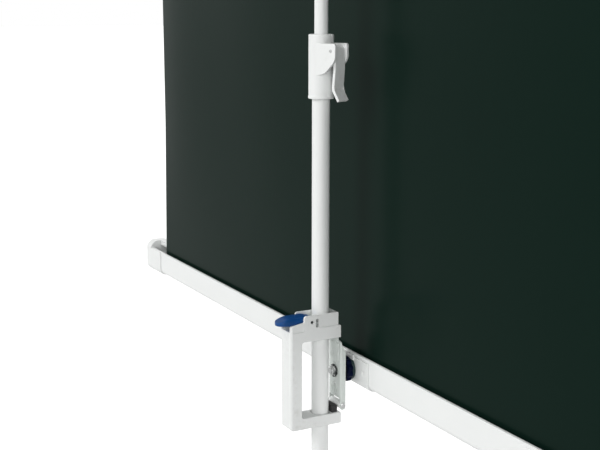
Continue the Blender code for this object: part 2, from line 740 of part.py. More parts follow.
def leg(number, azimuth, runner, slide, floor):
    plane = empty(f"leg_{number}_plane", slide, turn=azimuth)
    ear_middle = LEG_WIDTH / 2 + SEAT + EAR_THICK / 2
    pin_length = (ear_middle + EAR_THICK / 2 + SEAT) * 2
    pin_hole = rod(f"leg_{number}_pin_bore", RIVET_RADIUS + SEAT, pin_length * 2, None)
    put(pin_hole, plane, (LEG_PIVOT_RADIUS, 0, 0), ALONG_Y)
    for side in (-1, 1):
        ear = flat(f"leg_{number}_ear_{side}", [ear_outline(TUBE_RADIUS + RUNNER_WALL / 2, LEG_PIVOT_RADIUS,
                                                         EAR_RADIUS)], EAR_THICK, None)
        put(ear, plane, (0, ear_middle * side, 0), FACE_ON)
        join(runner, ear)
    cut(runner, pin_hole)
    pivot = empty(f"leg_{number}_pivot", plane, (LEG_PIVOT_RADIUS, 0, 0))
    pivot.rotation_euler = (0, -LEG_ANGLE, 0)
    length = LEG_LENGTH + LEG_HEAD
    body = flat(f"leg_{number}", [rectangle(LEG_DEPTH / 2, LEG_WIDTH / 2, LEG_CORNER),
                                  rectangle(LEG_DEPTH / 2 - LEG_WALL, LEG_WIDTH / 2 - LEG_WALL,
                                            LEG_CORNER - LEG_WALL)], length, WHITE_PAINT)
    put(body, pivot, (0, 0, LEG_HEAD - length / 2))
    cut(body, pin_hole)
    pin = rivet(f"leg_{number}_pin", RIVET_RADIUS, pin_length, RIVET_HEAD_RADIUS, RIVET_HEAD, STEEL)
    put(pin, plane, (LEG_PIVOT_RADIUS, 0, 0), ALONG_Y)
    foot_length = FOOT_SOCKET + FOOT_SOLE
    foot = flat(f"foot_{number}", [rectangle(LEG_DEPTH / 2 + FOOT_WALL, LEG_WIDTH / 2 + FOOT_WALL, FOOT_CORNER)],
                foot_length, BLACK_RUBBER)
    put(foot, pivot, (0, 0, FOOT_SOCKET - LEG_LENGTH - foot_length / 2))
    soften(foot, FOOT_EDGE)
    pocket = flat(f"foot_{number}_pocket", [rectangle(LEG_DEPTH / 2 + SEAT, LEG_WIDTH / 2 + SEAT,
                                                   LEG_CORNER + SEAT)], FOOT_SOCKET + OVERRUN, None)
    put(pocket, pivot, (0, 0, (FOOT_SOCKET + OVERRUN) / 2 - SEAT - LEG_LENGTH))
    cut(foot, pocket, floor)


def strut(number, azimuth, hub):
    """A flat bar in a slot of the hub, beside its leg, with the rivet to the leg made on its upper end."""
    plane = empty(f"strut_{number}_plane", STAND, (0, 0, HUB_PIVOT_HEIGHT), azimuth)
    half = STRUT_WIDTH / 2
    slot_low, slot_high = -half - SEAT * 2, HUB_HEIGHT / 2 + OVERRUN
    slot_inner, slot_outer = TUBE_RADIUS / 2, HUB_RADIUS + OVERRUN
    slot = block(f"strut_{number}_slot", (slot_inner, -STRUT_THICK / 2 - SEAT, slot_low),
                 (slot_outer, STRUT_THICK / 2 + SEAT, slot_high), None)
    put(slot, plane, ((slot_inner + slot_outer) / 2, STRUT_MIDDLE, (slot_low + slot_high) / 2))
    hole_length = STRUT_PIN_LENGTH + SEAT + OVERRUN * 2
    hole = rod(f"strut_{number}_bore", STRUT_PIN_RADIUS + SEAT, hole_length, None)
    hole_start = STRUT_MIDDLE - STRUT_PIN_LENGTH / 2 - SEAT
    put(hole, plane, (HUB_PIVOT_RADIUS, hole_start + hole_length / 2, 0), ALONG_Y)
    cut(hub, slot, hole)
    pivot = empty(f"strut_{number}_pivot", plane, (HUB_PIVOT_RADIUS, 0, 0))
    pivot.rotation_euler = (0, STRUT_ANGLE, 0)
    outline = rounded([(-half, -half, half), (half, -half, half), (half, STRUT_LENGTH + half, half),
                       (-half, STRUT_LENGTH + half, half)])
    bar = flat(f"strut_{number}", [outline, circle(STRUT_PIN_RADIUS + SEAT)], STRUT_THICK, WHITE_PAINT)
    put(bar, pivot, (0, STRUT_MIDDLE, 0), FACE_ON)
    head = rivet(f"strut_{number}_end_rivet", RIVET_RADIUS, STRUT_THICK / 2, RIVET_HEAD_RADIUS, RIVET_HEAD,
                 None, ends=1)
    put(head, pivot, (0, STRUT_MIDDLE + STRUT_THICK / 4 - SEAT, STRUT_LENGTH), ALONG_Y)
    join(bar, head)
    pin = rod(f"strut_{number}_pin", STRUT_PIN_RADIUS, STRUT_PIN_LENGTH, STEEL)
    put(pin, plane, (HUB_PIVOT_RADIUS, STRUT_MIDDLE, 0), ALONG_Y)


# Flip lock

def flip_lock():
    frame = empty("lock_frame", STAND, (0, 0, LOCK_BOTTOM), LOCK_YAW)
    lip = LOCK_RADIUS + LOCK_LIP / 2
    collar = turned("lock_collar", [(0, LOCK_HEIGHT), (LOCK_RADIUS - LOCK_LIP, LOCK_HEIGHT),
                                    (LOCK_RADIUS, LOCK_HEIGHT - LOCK_LIP * 2), (LOCK_RADIUS, LOCK_BEAD + LOCK_LIP),
                                    (lip, LOCK_BEAD), (lip, LOCK_LIP), (lip - LOCK_LIP, 0), (0, 0)],
                    WHITE_PLASTIC, TUBE_STEPS)
    put(collar, frame)
    cheek_corners = [(0, CHEEK_BOTTOM), (LOCK_RADIUS, CHEEK_BOTTOM + CHEEK_SWELL, LOCK_RADIUS),
                     (CHEEK_REACH, (CHEEK_BOTTOM + CHEEK_TOP) / 2, LOCK_RADIUS),
                     (CHEEK_REACH, CHEEK_TOP, CHEEK_ROUND), (0, CHEEK_TOP)]
    for side in (-1, 1):
        cheek = flat(f"lock_cheek_{side}", [rounded(cheek_corners)], CHEEK_THICK, None)
        put(cheek, frame, (0, (CHEEK_INNER + CHEEK_THICK / 2) * side, 0), FACE_ON)
        join(collar, cheek)
    pin_hole = rod("lock_pin_bore", LEVER_PIN_RADIUS + SEAT, LOCK_RADIUS * 3, None)
    put(pin_hole, frame, (LEVER_PIVOT_OUT, 0, LEVER_PIVOT_UP), ALONG_Y)
    bore = turned("lock_bore", [(0, LOCK_HEIGHT + OVERRUN), (MAST_RADIUS + SEAT, LOCK_HEIGHT + OVERRUN),
                                (MAST_RADIUS + SEAT, LOCK_SOCKET), (TUBE_RADIUS + SEAT, LOCK_SOCKET),
                                (TUBE_RADIUS + SEAT, -OVERRUN), (0, -OVERRUN)], None, TUBE_STEPS)
    put(bore, frame)
    slit = block("lock_slit", (0, -LOCK_SLIT / 2, CHEEK_BOTTOM),
                 (LOCK_RADIUS * 2, LOCK_SLIT / 2, LOCK_HEIGHT + OVERRUN), None)
    put(slit, frame, (LOCK_RADIUS, 0, (CHEEK_BOTTOM + LOCK_HEIGHT + OVERRUN) / 2))
    window = block("lock_window", (0, 0, 0), (LOCK_RADIUS, PAD_WIDTH + SEAT * 2, PAD_HEIGHT + SEAT * 2), None)
    put(window, frame, (LOCK_RADIUS / 2 + MAST_RADIUS / 2, 0, LEVER_PIVOT_UP))
    cut(collar, bore, slit, window, pin_hole)
    pin = rod("lock_lever_pin", LEVER_PIN_RADIUS, (CHEEK_INNER + CHEEK_THICK) * 2, STEEL)
    put(pin, frame, (LEVER_PIVOT_OUT, 0, LEVER_PIVOT_UP), ALONG_Y)
    pad_start, pad_end = MAST_RADIUS + SEAT, LEVER_PIVOT_OUT - CAM_OFFSET - CAM_RADIUS - SEAT
    pad = block("lock_pad", (pad_start, 0, 0), (pad_end, PAD_WIDTH, PAD_HEIGHT), BLACK_PLASTIC)
    put(pad, frame, ((pad_start + pad_end) / 2, 0, LEVER_PIVOT_UP))
    lock_lever(frame)


def lock_lever(frame):
    """A bent lever whose round head is a cam, off centre on its pin."""
    pivot = empty("lock_lever_pivot", frame, (LEVER_PIVOT_OUT, 0, LEVER_PIVOT_UP))
    inner = rounded([(LEVER_KNEE_OUT, LEVER_PIVOT_UP), (LEVER_KNEE_OUT, LEVER_KNEE_UP, LEVER_THICK),
                     (LEVER_BEND_OUT, LEVER_BEND_UP, LEVER_THICK), (LEVER_TIP_OUT, -LEVER_TIP_DOWN)], closed=False)
    blade = flat("lock_lever", [strip(inner, 0, LEVER_THICK)], (CHEEK_INNER - SEAT) * 2, WHITE_PLASTIC)
    put(blade, pivot, (-LEVER_PIVOT_OUT, 0, -LEVER_PIVOT_UP), FACE_ON)
    head = rod("lock_cam", CAM_RADIUS, (CHEEK_INNER - SEAT) * 2, None, BOSS_STEPS)
    put(head, pivot, (-CAM_OFFSET, 0, 0), ALONG_Y)
    hole = rod("lock_cam_bore", LEVER_PIN_RADIUS + SEAT, LOCK_RADIUS * 3, None)
    put(hole, pivot, turn=ALONG_Y)
    join(blade, head)
    cut(blade, hole)


# Carriage

def carriage():
    carrier = empty("carriage_axis", STAND, (0, 0, RIM_HEIGHT))
    handle(carrier)
    brake(carrier)
    bracket(carrier)
    pivot_parts(carrier)


def handle(carrier):
    """A C-shaped moulding: a grip, a lower arm, and a collar with two cheeks for the brake lever."""
    corners = [(GRIP_BACK, HANDLE_BOTTOM, GRIP_ROUND), (GRIP_BACK, GRIP_TOP, GRIP_ROUND / 2),
               (CHEEK_FOOT_BACK, CHEEK_FOOT_TOP, HANDLE_ROUND), (CHEEK_BACK_TOP, COLLAR_TOP, HANDLE_ROUND),
               (COLLAR_TOP_FRONT, COLLAR_TOP, HANDLE_ROUND), (COLLAR_TOP_FRONT, COLLAR_STEP),
               (COLLAR_FRONT, COLLAR_STEP, HANDLE_ROUND / 2), (COLLAR_FRONT, WINDOW_TOP),
               (GRIP_FRONT, WINDOW_TOP, WINDOW_ROUND), (GRIP_FRONT, WINDOW_BOTTOM, WINDOW_ROUND),
               (ARM_FRONT, WINDOW_BOTTOM, HANDLE_ROUND), (ARM_FRONT, HANDLE_BOTTOM, HANDLE_ROUND)]
    body = flat("carriage_handle", [rounded(corners)], HANDLE_WIDTH, WHITE_PLASTIC)
    put(body, carrier, turn=SIDE_ON)
    soften(body, HANDLE_EDGE, 2)
    bore = flat("carriage_bore", [rectangle(BORE_SIDE / 2, BORE_SIDE / 2, BORE_ROUND)],
                (COLLAR_TOP - HANDLE_BOTTOM) * 2, None)
    put(bore, carrier)
    half = CHANNEL_HALF
    channel = box_at("brake_channel", (-half, CHANNEL_FRONT, RIM_HEIGHT + CHANNEL_FLOOR),
                     (half, GRIP_BACK + OVERRUN, RIM_HEIGHT + COLLAR_TOP + OVERRUN), None, carrier)
    slot = flat("trunnion_slot", [rectangle(SLOT_WIDTH / 2, SLOT_HEIGHT / 2, SLOT_WIDTH / 2)],
                HANDLE_WIDTH + OVERRUN, None)
    put(slot, carrier, (0, TRUNNION_BACK, TRUNNION_UP), SIDE_ON)
    pin_hole = rod("brake_pin_bore", BRAKE_PIN_RADIUS + SEAT, HANDLE_WIDTH + OVERRUN, None)
    put(pin_hole, carrier, (0, BRAKE_PIVOT_BACK, BRAKE_PIVOT_UP), ALONG_X)
    tongue_pocket = box_at("tongue_pocket",
                           (-TONGUE_HALF - SEAT, COLLAR_FRONT - OVERRUN, RIM_HEIGHT + WINDOW_TOP - OVERRUN),
                           (TONGUE_HALF + SEAT, BRACKET_BACK + SEAT, RIM_HEIGHT + TONGUE_TOP + SEAT), None, carrier)
    cut(body, bore, channel, slot, pin_hole, tongue_pocket)
    for side in (-1, 1):
        hole = rod(f"bracket_screw_bore_{side}", BRACKET_SCREW_RADIUS + SEAT, BRACKET_SCREW_LENGTH + SEAT, None)
        middle = BRACKET_BACK - BRACKET_THICK + (BRACKET_SCREW_LENGTH + SEAT) / 2
        put(hole, carrier, (BRACKET_SCREW_SIDE * side, middle, BRACKET_SCREW_UP), ALONG_Y)
        cut(body, hole)
    return body


def brake(carrier):
    """The blue lever on top of the grip, its pin, its spring, and the shoe that it presses on the tube."""
    nose = SHOE_BACK + SEAT
    side_view = [(NOSE_HEEL_BACK, NOSE_HEEL), (nose + NOSE_RELIEF, NOSE_RELIEF_BOTTOM),
                 (nose + NOSE_RELIEF, NOSE_BOTTOM - NOSE_RELIEF), (nose, NOSE_BOTTOM), (nose, NOSE_TOP),
                 (CHEEK_BACK_TOP, BRAKE_TOP, BRAKE_BEND), (GRIP_BACK, BRAKE_TOP, BRAKE_SWEEP),
                 (BRAKE_TIP, BRAKE_TIP_TOP, BRAKE_EDGE * 2), (BRAKE_TIP, BRAKE_TIP_BOTTOM, BRAKE_EDGE),
                 (GRIP_BACK, GRIP_TOP, BRAKE_SWEEP), (CHEEK_FOOT_BACK, BRAKE_UNDER, BRAKE_BEND)]
    pivot = empty("brake_lever_pivot", carrier, (0, BRAKE_PIVOT_BACK, BRAKE_PIVOT_UP))
    shift = Vector((0, -BRAKE_PIVOT_BACK, -BRAKE_PIVOT_UP))
    lever = flat("brake_lever", [rounded(side_view)], BRAKE_HALF_WIDTH * 2, BLUE_PLASTIC)
    put(lever, pivot, shift, SIDE_ON)
    soften(lever, BRAKE_EDGE, 2)
    plan = flat("brake_plan", [rounded([(-BRAKE_HALF_WIDTH * 2, 0), (BRAKE_HALF_WIDTH * 2, 0),
                                       (BRAKE_HALF_WIDTH, GRIP_BACK), (BRAKE_HALF_WIDTH, BRAKE_TIP, BRAKE_TIP_ROUND),
                                       (-BRAKE_HALF_WIDTH, BRAKE_TIP, BRAKE_TIP_ROUND),
                                       (-BRAKE_HALF_WIDTH, GRIP_BACK)])], COLLAR_TOP, None)
    put(plan, pivot, shift + Vector((0, 0, COLLAR_TOP)))
    combine(lever, plan, "INTERSECT")
    hole = rod("brake_lever_bore", BRAKE_PIN_RADIUS + SEAT, HANDLE_WIDTH, None)
    put(hole, pivot, turn=ALONG_X)
    cut(lever, hole)
    pin = rod("brake_lever_pin", BRAKE_PIN_RADIUS, BRAKE_PIN_LENGTH, STEEL)
    put(pin, carrier, (0, BRAKE_PIVOT_BACK, BRAKE_PIVOT_UP), ALONG_X)
    shoe_low = (-BRAKE_HALF_WIDTH, TUBE_RADIUS + SEAT, RIM_HEIGHT + CHANNEL_FLOOR + SEAT)
    shoe = box_at("brake_shoe", shoe_low, (BRAKE_HALF_WIDTH, SHOE_BACK, RIM_HEIGHT + SHOE_TOP), GREY_PLASTIC, carrier)
    for side in (-1, 1):
        trunnion = rod(f"shoe_trunnion_{side}", TRUNNION_RADIUS, TRUNNION_LENGTH, None)
        middle = BRAKE_HALF_WIDTH + TRUNNION_REACH - TRUNNION_LENGTH / 2
        put(trunnion, carrier, (middle * side, TRUNNION_BACK, TRUNNION_UP), ALONG_X)
        join(shoe, trunnion)
    brake_spring(carrier)


def brake_spring(carrier):
    low, high = CHANNEL_FLOOR + SEAT + SPRING_WIRE, SPRING_TOP - SPRING_WIRE
    count = SPRING_TURNS * SPRING_POINTS
    spots = [(SPRING_RADIUS * math.cos(math.tau * k / SPRING_POINTS),
              SPRING_BACK + SPRING_RADIUS * math.sin(math.tau * k / SPRING_POINTS),
              low + (high - low) * k / count) for k in range(count + 1)]
    print_least_gap("brake spring", spots, SPRING_WIRE, SPRING_POINTS)
    put(wire("brake_spring", spots, SPRING_WIRE, STEEL, 0), carrier)


def bracket(carrier):
    """A pressed channel: a web across the mast, and two flanges that run on below it to hold a spacer."""
    path = rounded([(-BRACKET_HALF, BRACKET_FRONT), (-BRACKET_HALF, BRACKET_BACK, BRACKET_BEND),
                    (BRACKET_HALF, BRACKET_BACK, BRACKET_BEND), (BRACKET_HALF, BRACKET_FRONT)], closed=False)
    height = TONGUE_TOP - FLANGE_BOTTOM + OVERRUN
    body = flat("pivot_bracket", [strip(path, 0, -BRACKET_THICK)], height, GREY_PAINT)
    put(body, carrier, (0, 0, TONGUE_TOP - height / 2))
    depth = BRACKET_BACK - BRACKET_FRONT
    inner = BRACKET_HALF - BRACKET_THICK
    outer = BRACKET_HALF + OVERRUN
    relief = inner + SEAT
    face_start, face_end = BRACKET_BACK + OVERRUN, BRACKET_BACK - BRACKET_BEND - SEAT * 2
    face = flat("bracket_face", [rounded([
        (-relief, FLANGE_BOTTOM - OVERRUN * 2), (-relief, WEB_BOTTOM, BRACKET_BEND),
        (relief, WEB_BOTTOM, BRACKET_BEND), (relief, FLANGE_BOTTOM - OVERRUN * 2)])], face_start - face_end, None)
    put(face, carrier, (0, (face_start + face_end) / 2, 0), FACE_ON)
    corner_x = BRACKET_HALF + SEAT
    shoulders = []
    for side in (-1, 1):
        shoulder = flat(f"bracket_shoulder_{side}", [rounded([
            (TONGUE_HALF * side, TONGUE_TOP + OVERRUN), (TONGUE_HALF * side, WEB_TOP, BRACKET_THICK / 2),
            (corner_x * side, WEB_TOP, WEB_CORNER), (corner_x * side, WEB_TOP - WEB_CORNER * 2),
            (outer * side, WEB_TOP - WEB_CORNER * 2), (outer * side, TONGUE_TOP + OVERRUN)])], depth * 3, None)
        put(shoulder, carrier, (0, BRACKET_BACK, 0), FACE_ON)
        shoulders.append(shoulder)
    ends = flat("flange_ends", [rounded([
        (BRACKET_FRONT - OVERRUN, FLANGE_BOTTOM - OVERRUN * 2), (BRACKET_BACK + OVERRUN, FLANGE_BOTTOM - OVERRUN * 2),
        (BRACKET_BACK + OVERRUN, SPACER_UP), (BRACKET_BACK, SPACER_UP), (BRACKET_BACK, FLANGE_BOTTOM, FLANGE_ROUND),
        (BRACKET_FRONT, FLANGE_BOTTOM, FLANGE_ROUND), (BRACKET_FRONT, SPACER_UP),
        (BRACKET_FRONT - OVERRUN, SPACER_UP)])], outer * 2, None)
    put(ends, carrier, turn=SIDE_ON)
    pivot_hole = rod("bracket_pivot_bore", PIVOT_BORE, depth * 3, None, BOSS_STEPS)
    put(pivot_hole, carrier, (0, BRACKET_BACK, -PIVOT_DROP), ALONG_Y)
    web_hole = rod("bracket_web_bore", WEB_HOLE_RADIUS, depth * 3, None)
    put(web_hole, carrier, (0, BRACKET_BACK, WEB_HOLE_UP), ALONG_Y)
    spacer_y = (BRACKET_BACK + BRACKET_FRONT) / 2
    rivet_hole = rod("spacer_rivet_bore", RIVET_RADIUS + SEAT, outer * 2, None)
    put(rivet_hole, carrier, (0, spacer_y, SPACER_UP), ALONG_X)
    panel = block("bracket_panel", (-PANEL_HALF, 0, PANEL_BOTTOM), (PANEL_HALF, PANEL_RAISE * 2, PANEL_TOP), None,
                  PANEL_RAISE)
    put(panel, carrier, (0, BRACKET_BACK, (PANEL_BOTTOM + PANEL_TOP) / 2))
    join(body, panel)
    cut(body, face, *shoulders, ends, pivot_hole, web_hole, rivet_hole)
    screw_back = BRACKET_BACK - BRACKET_THICK - SEAT
    for side, name in ((-1, "bracket_screw_1"), (1, "bracket_screw_2")):
        hole = rod(f"bracket_screw_clear_{side}", BRACKET_SCREW_RADIUS + SEAT, depth, None)
        put(hole, carrier, (BRACKET_SCREW_SIDE * side, BRACKET_BACK, BRACKET_SCREW_UP), ALONG_Y)
        cut(body, hole)
        screw = rivet(name, BRACKET_SCREW_RADIUS, BRACKET_SCREW_LENGTH - SEAT, BRACKET_SCREW_HEAD_RADIUS,
                      BRACKET_SCREW_HEAD, STEEL, ends=1)
        put(screw, carrier, (BRACKET_SCREW_SIDE * side, screw_back + (BRACKET_SCREW_LENGTH - SEAT) / 2,
                             BRACKET_SCREW_UP), (math.pi / 2, 0, 0))
    spacer = ring("bracket_spacer", SPACER_RADIUS, RIVET_RADIUS + SEAT, (inner - SEAT) * 2, WHITE_PLASTIC)
    spacer_rivet = rivet("spacer_rivet", RIVET_RADIUS, (BRACKET_HALF + SEAT) * 2, RIVET_HEAD_RADIUS, RIVET_HEAD, STEEL)
    for item in (spacer, spacer_rivet):
        put(item, carrier, (0, spacer_y, SPACER_UP), ALONG_X)


def pivot_parts(carrier):
    """What stays with the carriage on the pivot's axis: the sleeve and the blue clamp knob."""
    web_front = BRACKET_BACK - BRACKET_THICK
    length = web_front - KNOB_BACK - SEAT * 2
    sleeve = ring("pivot_sleeve", SLEEVE_RADIUS, PIVOT_BORE, length, STEEL)
    put(sleeve, carrier, (0, web_front - SEAT - length / 2, -PIVOT_DROP), ALONG_Y)
    knob_axis = empty("knob_axis", carrier, (0, KNOB_BACK, -PIVOT_DROP))
    thick = KNOB_BACK - KNOB_FRONT
    outline = []
    for lobe in range(KNOB_LOBES):
        for step, dip_share in enumerate(KNOB_DIP_SHARES):
            angle = math.tau * (lobe + step / len(KNOB_DIP_SHARES)) / KNOB_LOBES
            outline.append(Vector((math.cos(angle), math.sin(angle))) * (KNOB_RADIUS - KNOB_SCALLOP * dip_share))
    knob = flat("pivot_knob", [outline, circle(PIVOT_BORE, steps=BOSS_STEPS)], thick, NAVY_PLASTIC)
    put(knob, knob_axis, (0, -thick / 2, 0), FACE_ON)
    soften(knob, KNOB_EDGE)


# Case

CASE_BODY = [(0, -CASE_DROP, CASE_BACK_CORNER), (CASE_DEPTH, -CASE_DROP, CASE_FRONT_CORNER),
             (CASE_DEPTH, CASE_RISE, CASE_HOOD)]


def case_path():
    """The outer face of the case's section, from the hem on the back rim round to the front lip."""
    corners = [(RIM_HEM, 0), (0, 0, RIM_BEND), *CASE_BODY, (SLOT_DEPTH, CASE_RISE, LIP_BEND),
               (SLOT_DEPTH, CASE_RISE - LIP_DROP)]
    return rounded(corners, closed=False, steps=WIDE_ARC_STEPS)


def section(points):
    """Turns points measured forward and up into the side view's own axes."""
    return [Vector((CASE_BACK - p[0], p[1])) for p in points]


def case_assembly():
    carrier = empty("case_pivot", STAND, (0, CASE_BACK, PIVOT_HEIGHT))
    shell = flat("case_shell", [section(strip(case_path(), 0, CASE_WALL))], CASE_HALF * 2, WHITE_PAINT)
    seat(shell, carrier, (0, 0, RIM_HEIGHT), SIDE_ON)
    bores = []
    for side in (-1, 1):
        bore = rod(f"cradle_rivet_bore_{side}", RIVET_RADIUS + SEAT, CASE_BACK_CORNER, None)
        seat(bore, carrier, (CRADLE_RIVET_X * side, CASE_BACK, RIM_HEIGHT - CRADLE_RIVET_DROP), ALONG_Y)
        bores.append(bore)
    cut(shell, *bores)
    for side, name in ((-1, "case_end_cap_1"), (1, "case_end_cap_2")):
        end_cap(name, side, carrier)
    cradle(carrier, bores)
    pivot_bolt(carrier)
    return carrier


def end_cap(name, side, carrier):
    """A moulded cap with a domed end, whose skirt holds the case's end and leaves the slot open."""
    shoulder = CAP_SHOULDER
    outline = rounded([(-CAP_WALL, -CASE_DROP - CAP_WALL, CASE_BACK_CORNER + CAP_WALL),
                       (CASE_DEPTH + CAP_WALL, -CASE_DROP - CAP_WALL, CASE_FRONT_CORNER + CAP_WALL),
                       (CASE_DEPTH + CAP_WALL, CASE_RISE + CAP_WALL, CASE_HOOD + CAP_WALL),
                       (-CAP_WALL, CASE_RISE + CAP_WALL, shoulder)], steps=WIDE_ARC_STEPS)
    length = CAP_END - CAP_START
    side_view = [Vector((p.x * side, p.y)) for p in section(outline)]
    body = flat(name, [side_view], length, WHITE_PLASTIC, CAP_DOME, CAP_DOME_STEPS)
    seat(body, carrier, ((CAP_START + length / 2) * side, 0, RIM_HEIGHT), (math.pi / 2, 0, math.pi / 2 * side))
    around = rounded([(0, 0), *CASE_BODY, (SLOT_DEPTH, CASE_RISE)], closed=False, steps=WIDE_ARC_STEPS)
    over, outside = CASE_RISE + CAP_WALL + OVERRUN, -CAP_WALL - OVERRUN
    pocket_outline = offset(around, -SEAT) + [Vector(p) for p in ((SLOT_DEPTH, over), (outside, over), (outside, 0))]
    pocket_length = CAP_POCKET - CAP_START + OVERRUN
    pocket = flat(f"{name}_pocket", [section(pocket_outline)], pocket_length, None)
    seat(pocket, carrier, ((CAP_POCKET - pocket_length / 2) * side, 0, RIM_HEIGHT), SIDE_ON)
    axle = rod(f"{name}_axle_bore", ROD_RADIUS + SEAT, (AXLE_END + SEAT - CAP_START) * 2, None, BOSS_STEPS)
    seat(axle, carrier, (CAP_START * side, ROLLER_Y, ROLLER_HEIGHT), ALONG_X)
    cut(body, pocket, axle)


def cradle(carrier, bores):
    """A sheet sleeve that holds the case from behind and below, with a boss for the pivot bolt."""
    path = rounded([(0, CRADLE_TOP), (0, -CASE_DROP, CASE_BACK_CORNER),
                    (CASE_DEPTH, -CASE_DROP, CASE_FRONT_CORNER), (CASE_DEPTH, CRADLE_FRONT_TOP)],
                   closed=False, steps=WIDE_ARC_STEPS)
    body = flat("case_cradle", [section(strip(path, -SEAT, -SEAT - CRADLE_THICK))], CRADLE_HALF * 2, WHITE_PAINT)
    seat(body, carrier, (0, 0, RIM_HEIGHT), SIDE_ON)
    sheet_back = CASE_BACK + SEAT + CRADLE_THICK
    boss_depth = BOSS_BACK - sheet_back + CRADLE_THICK / 2
    boss = flat("cradle_boss", [circle(BOSS_RADIUS, steps=TUBE_STEPS)], boss_depth, None, BOSS_EDGE)
    seat(boss, carrier, (0, BOSS_BACK - boss_depth / 2, PIVOT_HEIGHT), ALONG_Y)
    lug = box_at("cradle_lug", (-LUG_HALF, sheet_back - CRADLE_THICK / 4, RIM_HEIGHT + LUG_TOP - LUG_HEIGHT),
                 (LUG_HALF, LUG_BACK, RIM_HEIGHT + LUG_TOP), None, carrier)
    head_room = rod("bolt_head_pocket", BOLT_HEAD_RADIUS + SEAT, BOLT_HEAD + SEAT * 2 + OVERRUN, None, BOSS_STEPS)
    head_back = CASE_BACK + SEAT * 2 + BOLT_HEAD
    seat(head_room, carrier, (0, head_back + SEAT - (BOLT_HEAD + SEAT * 2 + OVERRUN) / 2, PIVOT_HEIGHT), ALONG_Y)
    bolt_bore = rod("cradle_bolt_bore", PIVOT_BORE, BOSS_RADIUS * 2, None, BOSS_STEPS)
    seat(bolt_bore, carrier, (0, BOSS_BACK, PIVOT_HEIGHT), ALONG_Y)
    join(body, boss, lug)
    cut(body, head_room, bolt_bore, *bores)
    rivet_length = CASE_WALL + CRADLE_THICK + SEAT * 3
    middle = CASE_BACK - CASE_WALL - SEAT + rivet_length / 2
    for side, name in ((-1, "cradle_rivet_1"), (1, "cradle_rivet_2")):
        fastener = rivet(name, RIVET_RADIUS, rivet_length, RIVET_HEAD_RADIUS, RIVET_HEAD, WHITE_PAINT)
        seat(fastener, carrier, (CRADLE_RIVET_X * side, middle, RIM_HEIGHT - CRADLE_RIVET_DROP), ALONG_Y)


def pivot_bolt(carrier):
    """A bolt with its head in the cradle's boss, and a flanged locknut behind the bracket's web."""
    head_front = CASE_BACK + SEAT
    nut_front = BRACKET_BACK + SEAT
    nut_back = nut_front + NUT_DEPTH
    length = nut_back - (head_front + BOLT_HEAD)
    bolt = turned("pivot_bolt", [(0, BOLT_HEAD), (BOLT_HEAD_RADIUS, BOLT_HEAD), (BOLT_HEAD_RADIUS, 0),
                                 (PIVOT_RADIUS, 0), (PIVOT_RADIUS, -length), (0, -length)], STEEL, BOSS_STEPS)
    seat(bolt, carrier, (0, head_front + BOLT_HEAD, PIVOT_HEIGHT), (math.pi / 2, 0, 0))
    nut = turned("pivot_locknut", [(NUT_RADIUS, NUT_FLANGE), (NUT_RADIUS, 0), (PIVOT_BORE, 0),
                                   (PIVOT_BORE, NUT_FLANGE)], STEEL, BOSS_STEPS, closed=True)
    seat(nut, carrier, (0, nut_front, PIVOT_HEIGHT), ALONG_Y)
    hexagon = flat("locknut_hexagon", [circle(NUT_HEX, steps=6), circle(PIVOT_BORE, steps=BOSS_STEPS)],
                   NUT_DEPTH - NUT_FLANGE / 2, None)
    seat(hexagon, carrier, (0, nut_back - (NUT_DEPTH - NUT_FLANGE / 2) / 2, PIVOT_HEIGHT), FACE_ON)
    join(nut, hexagon)


# Roller and fabric

def roller(case):
    axis = empty("roller_axis", case, Vector((0, ROLLER_Y, ROLLER_HEIGHT)) - case.location)
    tube = ring("roller_tube", ROLLER_RADIUS, ROLLER_RADIUS - ROLLER_WALL, ROLLER_HALF * 2, STEEL, BOSS_STEPS)
    wraps = ring("fabric_wraps", WRAP_RADIUS, ROLLER_RADIUS + SEAT, FABRIC_WIDTH, BLACK_FABRIC, BOSS_STEPS)
    for item in (tube, wraps):
        put(item, axis, turn=ALONG_X)
    spigot = ROLLER_RADIUS - ROLLER_WALL - SEAT
    flange = ROLLER_FLANGE
    idle = turned("roller_idle_plug", [
        (0, AXLE_END - ROLLER_HALF), (GUDGEON_RADIUS, AXLE_END - ROLLER_HALF), (GUDGEON_RADIUS, flange + SEAT),
        (ROLLER_RADIUS, flange + SEAT), (ROLLER_RADIUS, SEAT), (spigot, SEAT), (spigot, -ROLLER_SPIGOT),
        (0, -ROLLER_SPIGOT)], GREY_PLASTIC, BOSS_STEPS)
    put(idle, axis, (-ROLLER_HALF, 0, 0), (0, -math.pi / 2, 0))
    rod_bore = ROD_RADIUS + SEAT
    drive = turned("roller_spring_plug", [
        (ROLLER_RADIUS, flange + SEAT), (ROLLER_RADIUS, SEAT), (spigot, SEAT), (spigot, -ROLLER_SPIGOT),
        (rod_bore, -ROLLER_SPIGOT), (rod_bore, flange + SEAT)], GREY_PLASTIC, BOSS_STEPS, closed=True)
    put(drive, axis, (ROLLER_HALF, 0, 0), ALONG_X)
    spring_rod = rod("spring_rod", ROD_RADIUS, ROD_LENGTH, STEEL)
    seat(spring_rod, case, (AXLE_END - ROD_LENGTH / 2, ROLLER_Y, ROLLER_HEIGHT), ALONG_X)
    roller_spring(case)


